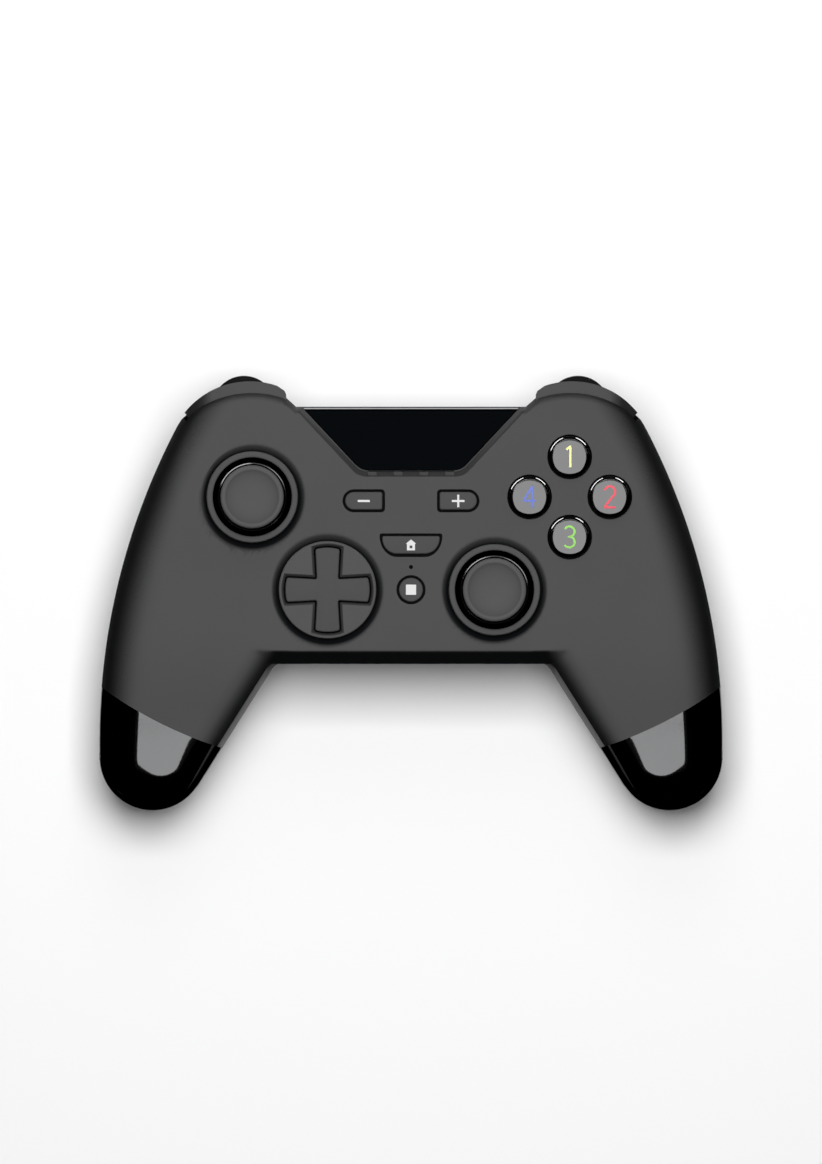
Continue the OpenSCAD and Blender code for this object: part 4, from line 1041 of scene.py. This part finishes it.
# %% [markdown]
# ## Menu keys
# Four small grey keys lie almost level with the face. Each is a prism with a rounded top edge, a collar that
# stops it under the case and a foot on the rubber mat. The gap round it is part of the look.

# %% Keys
GAP = 0.62  # between a key and its opening
KEY_TOP = {"minus": 40.7, "plus": 40.7, "home": 40.6, "capture": 40.5}


def key(outline, collar, foot, top):
    """A key: cap in the opening, collar under the case and foot on the mat."""
    cap = soften(prism(outline, 37.1, top), 0.35, 4, 50, lambda e: min(v.co.z for v in e.verts) > top - 0.05)
    rim = prism(collar, 36.0, 37.4)
    leg = turned([(0, 32.4), (1.3, 32.4), (1.5, 32.6), (1.5, 36.2), (0, 36.2)], foot, 32)
    return joined(cap, rim, leg)


# Outline of the cap, outline of the collar and place of the foot
KEYS = {"minus": (minus_outline(-GAP), minus_outline(0.6), (-MENU_X, MENU_Y)),
        "plus": (flip(minus_outline(-GAP)), flip(minus_outline(0.6)), (MENU_X, MENU_Y)),
        "home": (home_outline(-GAP, 0.15), home_outline(0.5), (0, 11.6)),
        "capture": (circle(CAPTURE, CAPTURE_R - GAP), circle(CAPTURE, CAPTURE_R + 0.6), CAPTURE)}
for name, drawing in KEYS.items():
    top = KEY_TOP[name]
    cap = piece(f"key_{name}", key(*drawing, top), [f"{name}_button"], key_grey)
    # Painted shade down the sides of each key, in the gap round it
    set_painted_light(cap, lambda x, y, z: ramp(z, top - 0.32, 0.25))
print("keys:", list(KEYS))

# %% [markdown]
# ## Pictograms
# The keys are printed in white: a bar, a plus, a house and a square. A print has hardly any thickness, so
# each is a few thin prisms that stand 0.03 mm proud of the key.

# %% Print the keys


def mark(sign, name, *outlines):
    """A thin white print on a key."""
    top, node = KEY_TOP[name], f"{name}_button"
    bm = joined(*[prism(o, top - 0.1, top + 0.03) for o in outlines])
    return piece(f"print_{sign}", bm, [node], print_white, body=body_of[node])


mark("minus", "minus", bar(-MENU_X, 22.45, 1.45, 0.26))
mark("plus", "plus", bar(MENU_X, 22.45, 1.55, 0.25), bar(MENU_X, 23.33, 0.25, 0.63),
     bar(MENU_X, 21.57, 0.25, 0.63))
roof = [(-1.24, 12.05), (1.24, 12.05), (0, 13.1)]
mark("house", "home", roof, bar(-0.66, 11.25, 0.32, 0.8), bar(0.66, 11.25, 0.32, 0.8),
     bar(0, 11.83, 0.34, 0.22), bar(0, 10.7, 0.34, 0.25))
mark("square", "capture", bar(*CAPTURE, 1.24, 1.24))
print("pictograms done")

# %% [markdown]
# ## Bumpers and triggers
# The shoulder keys are simple mouldings. Copies of their solids with rounded edges carry the finish:
# satin grey for the bumpers, whose painted shade leaves only their tops grey, and black for the triggers.

# %% Round the shoulder keys
bumper_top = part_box("right_bumper")[1][2] / MM
for side in ("left", "right"):
    bumper_node, trigger_node = f"{side}_bumper", f"{side}_trigger"
    bumper = piece(f"bumper_{side}", fair_copy(bumper_node, 0.5, 4), [bumper_node], bumper_grey, sharp=40)
    # Painted shade down the sides of the bumper
    set_painted_light(bumper, lambda x, y, z: ramp(z, bumper_top - 0.4, 0.35))
    piece(f"trigger_{side}", fair_copy(trigger_node, 0.6, 4), [trigger_node], trigger_gloss, sharp=40)
print("shoulder keys done")

# %% [markdown]
# ## Case screws
# Four screws sit deep in wells under the case. Each is a turned profile, and two bars cut the cross recess
# for the driver into its head.

# %% Screws with a cross recess
screws = []
for x, y, seat in SCREWS:
    head = [(0, seat - 1.8), (1.5, seat - 1.75), (2.1, seat - 1.45), (2.4, seat - 0.9), (2.4, seat)]
    shank = [(1.2, seat), (1.2, seat + 15.4), (0.6, seat + 16), (0, seat + 16)]
    recess = [prism(bar(x, y, a, b), seat - 3, seat - 0.9) for a, b in ((1.25, 0.3), (0.3, 1.25))]
    screw = carved(turned(head + shank, (x, y), 48), recess)
    screws += [mirrored(screw), screw]
piece("case_screw_set", joined(*screws), ["case_screws"], steel)
print("screws done")

# %% [markdown]
# ## Floor
# The pad lies on white paper. To the camera, and in reflections, the paper is white. As a source of light
# it is darker, so that it doesn't brighten the sides of the pad from below.

# %% White paper
floor_mesh = bmesh.new()
bmesh.ops.create_grid(floor_mesh, x_segments=2, y_segments=2, size=3)
floor = plain("floor", floor_mesh)
floor.location.z = -0.0002  # just below the pad, so that the two never share a face
paper, tree, lit = bare_finish("white_paper")
lit.inputs["Roughness"].default_value = 0.9
lit.inputs["Specular IOR Level"].default_value = 0.0
ray = add_node(tree, "LightPath")
in_gloss = add_node(tree, "Math", links={0: ray.outputs["Is Glossy Ray"],
                                         1: ray.outputs["Is Transmission Ray"]})
seen = add_node(tree, "Math", links={0: ray.outputs["Is Camera Ray"], 1: in_gloss.outputs["Value"]})
in_gloss.operation = seen.operation = "ADD"
seen.use_clamp = True
white = add_node(tree, "MixRGB", {"Color1": (0.2, 0.2, 0.2, 1), "Color2": (0.93, 0.93, 0.93, 1)},
                 {"Fac": seen.outputs["Value"]})
tree.links.new(white.outputs["Color"], lit.inputs["Base Color"])
floor.data.materials.append(paper)
print("floor:", tuple(floor.dimensions))

# %% [markdown]
# ## Light
# One soft light over the pad, a little towards the rear, shades its form and isn't mirrored. A weak one
# further back helps it. Polished pieces need something to mirror: a broad sheet overhead, two low strips and
# two bars for the arcs on the stick domes. These are seen in reflections only and don't change the grey.

# %% Softboxes


def softbox(name, place, aim, width, depth, watts):
    """A rectangular lamp that the camera doesn't see."""
    lamp = bpy.data.lights.new(name, "AREA")
    lamp.shape = "RECTANGLE"
    lamp.size, lamp.size_y = width, depth
    lamp.energy = watts
    holder = bpy.data.objects.new(name, lamp)
    holder.location = place
    holder.rotation_euler = (Vector(aim) - Vector(place)).to_track_quat("-Z", "Y").to_euler()
    holder.visible_camera = False
    scene.collection.objects.link(holder)
    return holder


softbox("main", (0, 0.17, 1.0), (0, 0, 0.03), 0.5, 0.5, 11.0).visible_glossy = False
softbox("rear", (0, 0.75, 0.8), (0, 0, 0.03), 0.5, 0.5, 1.0)
softbox("sheet", (0, -0.02, 1.0), (0, -0.02, 0.03), 1.0, 1.04, 14.0).visible_diffuse = False
for name, x in (("strip left", -0.36), ("strip right", 0.42)):
    softbox(name, (x, 0.36, 0.12), (0.02, 0, 0.04), 0.6, 0.05, 2.4).visible_diffuse = False
ARCS = ("arc left", -0.39, 0.54, 0.78, 3.4), ("arc right", 0.49, 0.46, 0.8, 2.2)
for name, x, y, width, watts in ARCS:
    softbox(name, (x, y, 0.78), (0, 0, 0.04), width, 0.14, watts).visible_diffuse = False
print("lamps:", len(bpy.data.lights))

# %% [markdown]
# ## Black cards
# A photographer stands black cards beside a polished object, so that its edges mirror something dark. Here
# they are three sides of an open box. They are seen in reflections only and cast no shadow.

# %% Cards and room light
CARD_TOP, CARD_FOOT = 0.09, 0.001
cards = bmesh.new()
bmesh.ops.create_cube(cards, size=0.2)
open_sides = [f for f in cards.faces if abs(f.normal.z) > 0.5 or f.normal.y > 0.5]
bmesh.ops.delete(cards, geom=open_sides, context="FACES")
for v in cards.verts:
    v.co.y *= 0.8
    v.co.z = CARD_TOP if v.co.z > 0 else CARD_FOOT
black_cards = plain("black_cards", cards)
black, tree, card_shader = bare_finish("black_card")
card_shader.inputs["Base Color"].default_value = (0.002, 0.002, 0.002, 1)
card_shader.inputs["Specular IOR Level"].default_value = 0.0
black_cards.data.materials.append(black)
black_cards.visible_camera = black_cards.visible_diffuse = black_cards.visible_shadow = False
world = bpy.data.worlds.new("room")
world.use_nodes = True
room = world.node_tree.nodes["Background"]
room.inputs["Color"].default_value = (1, 1, 1, 1)
room.inputs["Strength"].default_value = 0.05
scene.world = world
print("cards:", len(black_cards.data.polygons))

# %% [markdown]
# ## Camera
# The camera looks straight down through a very long lens, so that the grips and the face keep their true
# proportions. Its distance follows from the height of the frame at the level of the face.

# %% Look straight down
LENS, SENSOR = 800, 36
VIEW_H, FACE_LEVEL, CENTRE_Y = 0.2831, 0.04, 0.00275
lens = bpy.data.cameras.new("camera")
lens.sensor_fit = "VERTICAL"
lens.sensor_height = SENSOR
lens.lens = LENS
eye = bpy.data.objects.new("camera", lens)
eye.location = (0, CENTRE_Y, FACE_LEVEL + VIEW_H * LENS / SENSOR)
scene.collection.objects.link(eye)
scene.camera = eye
print("camera height:", round(eye.location.z, 3))
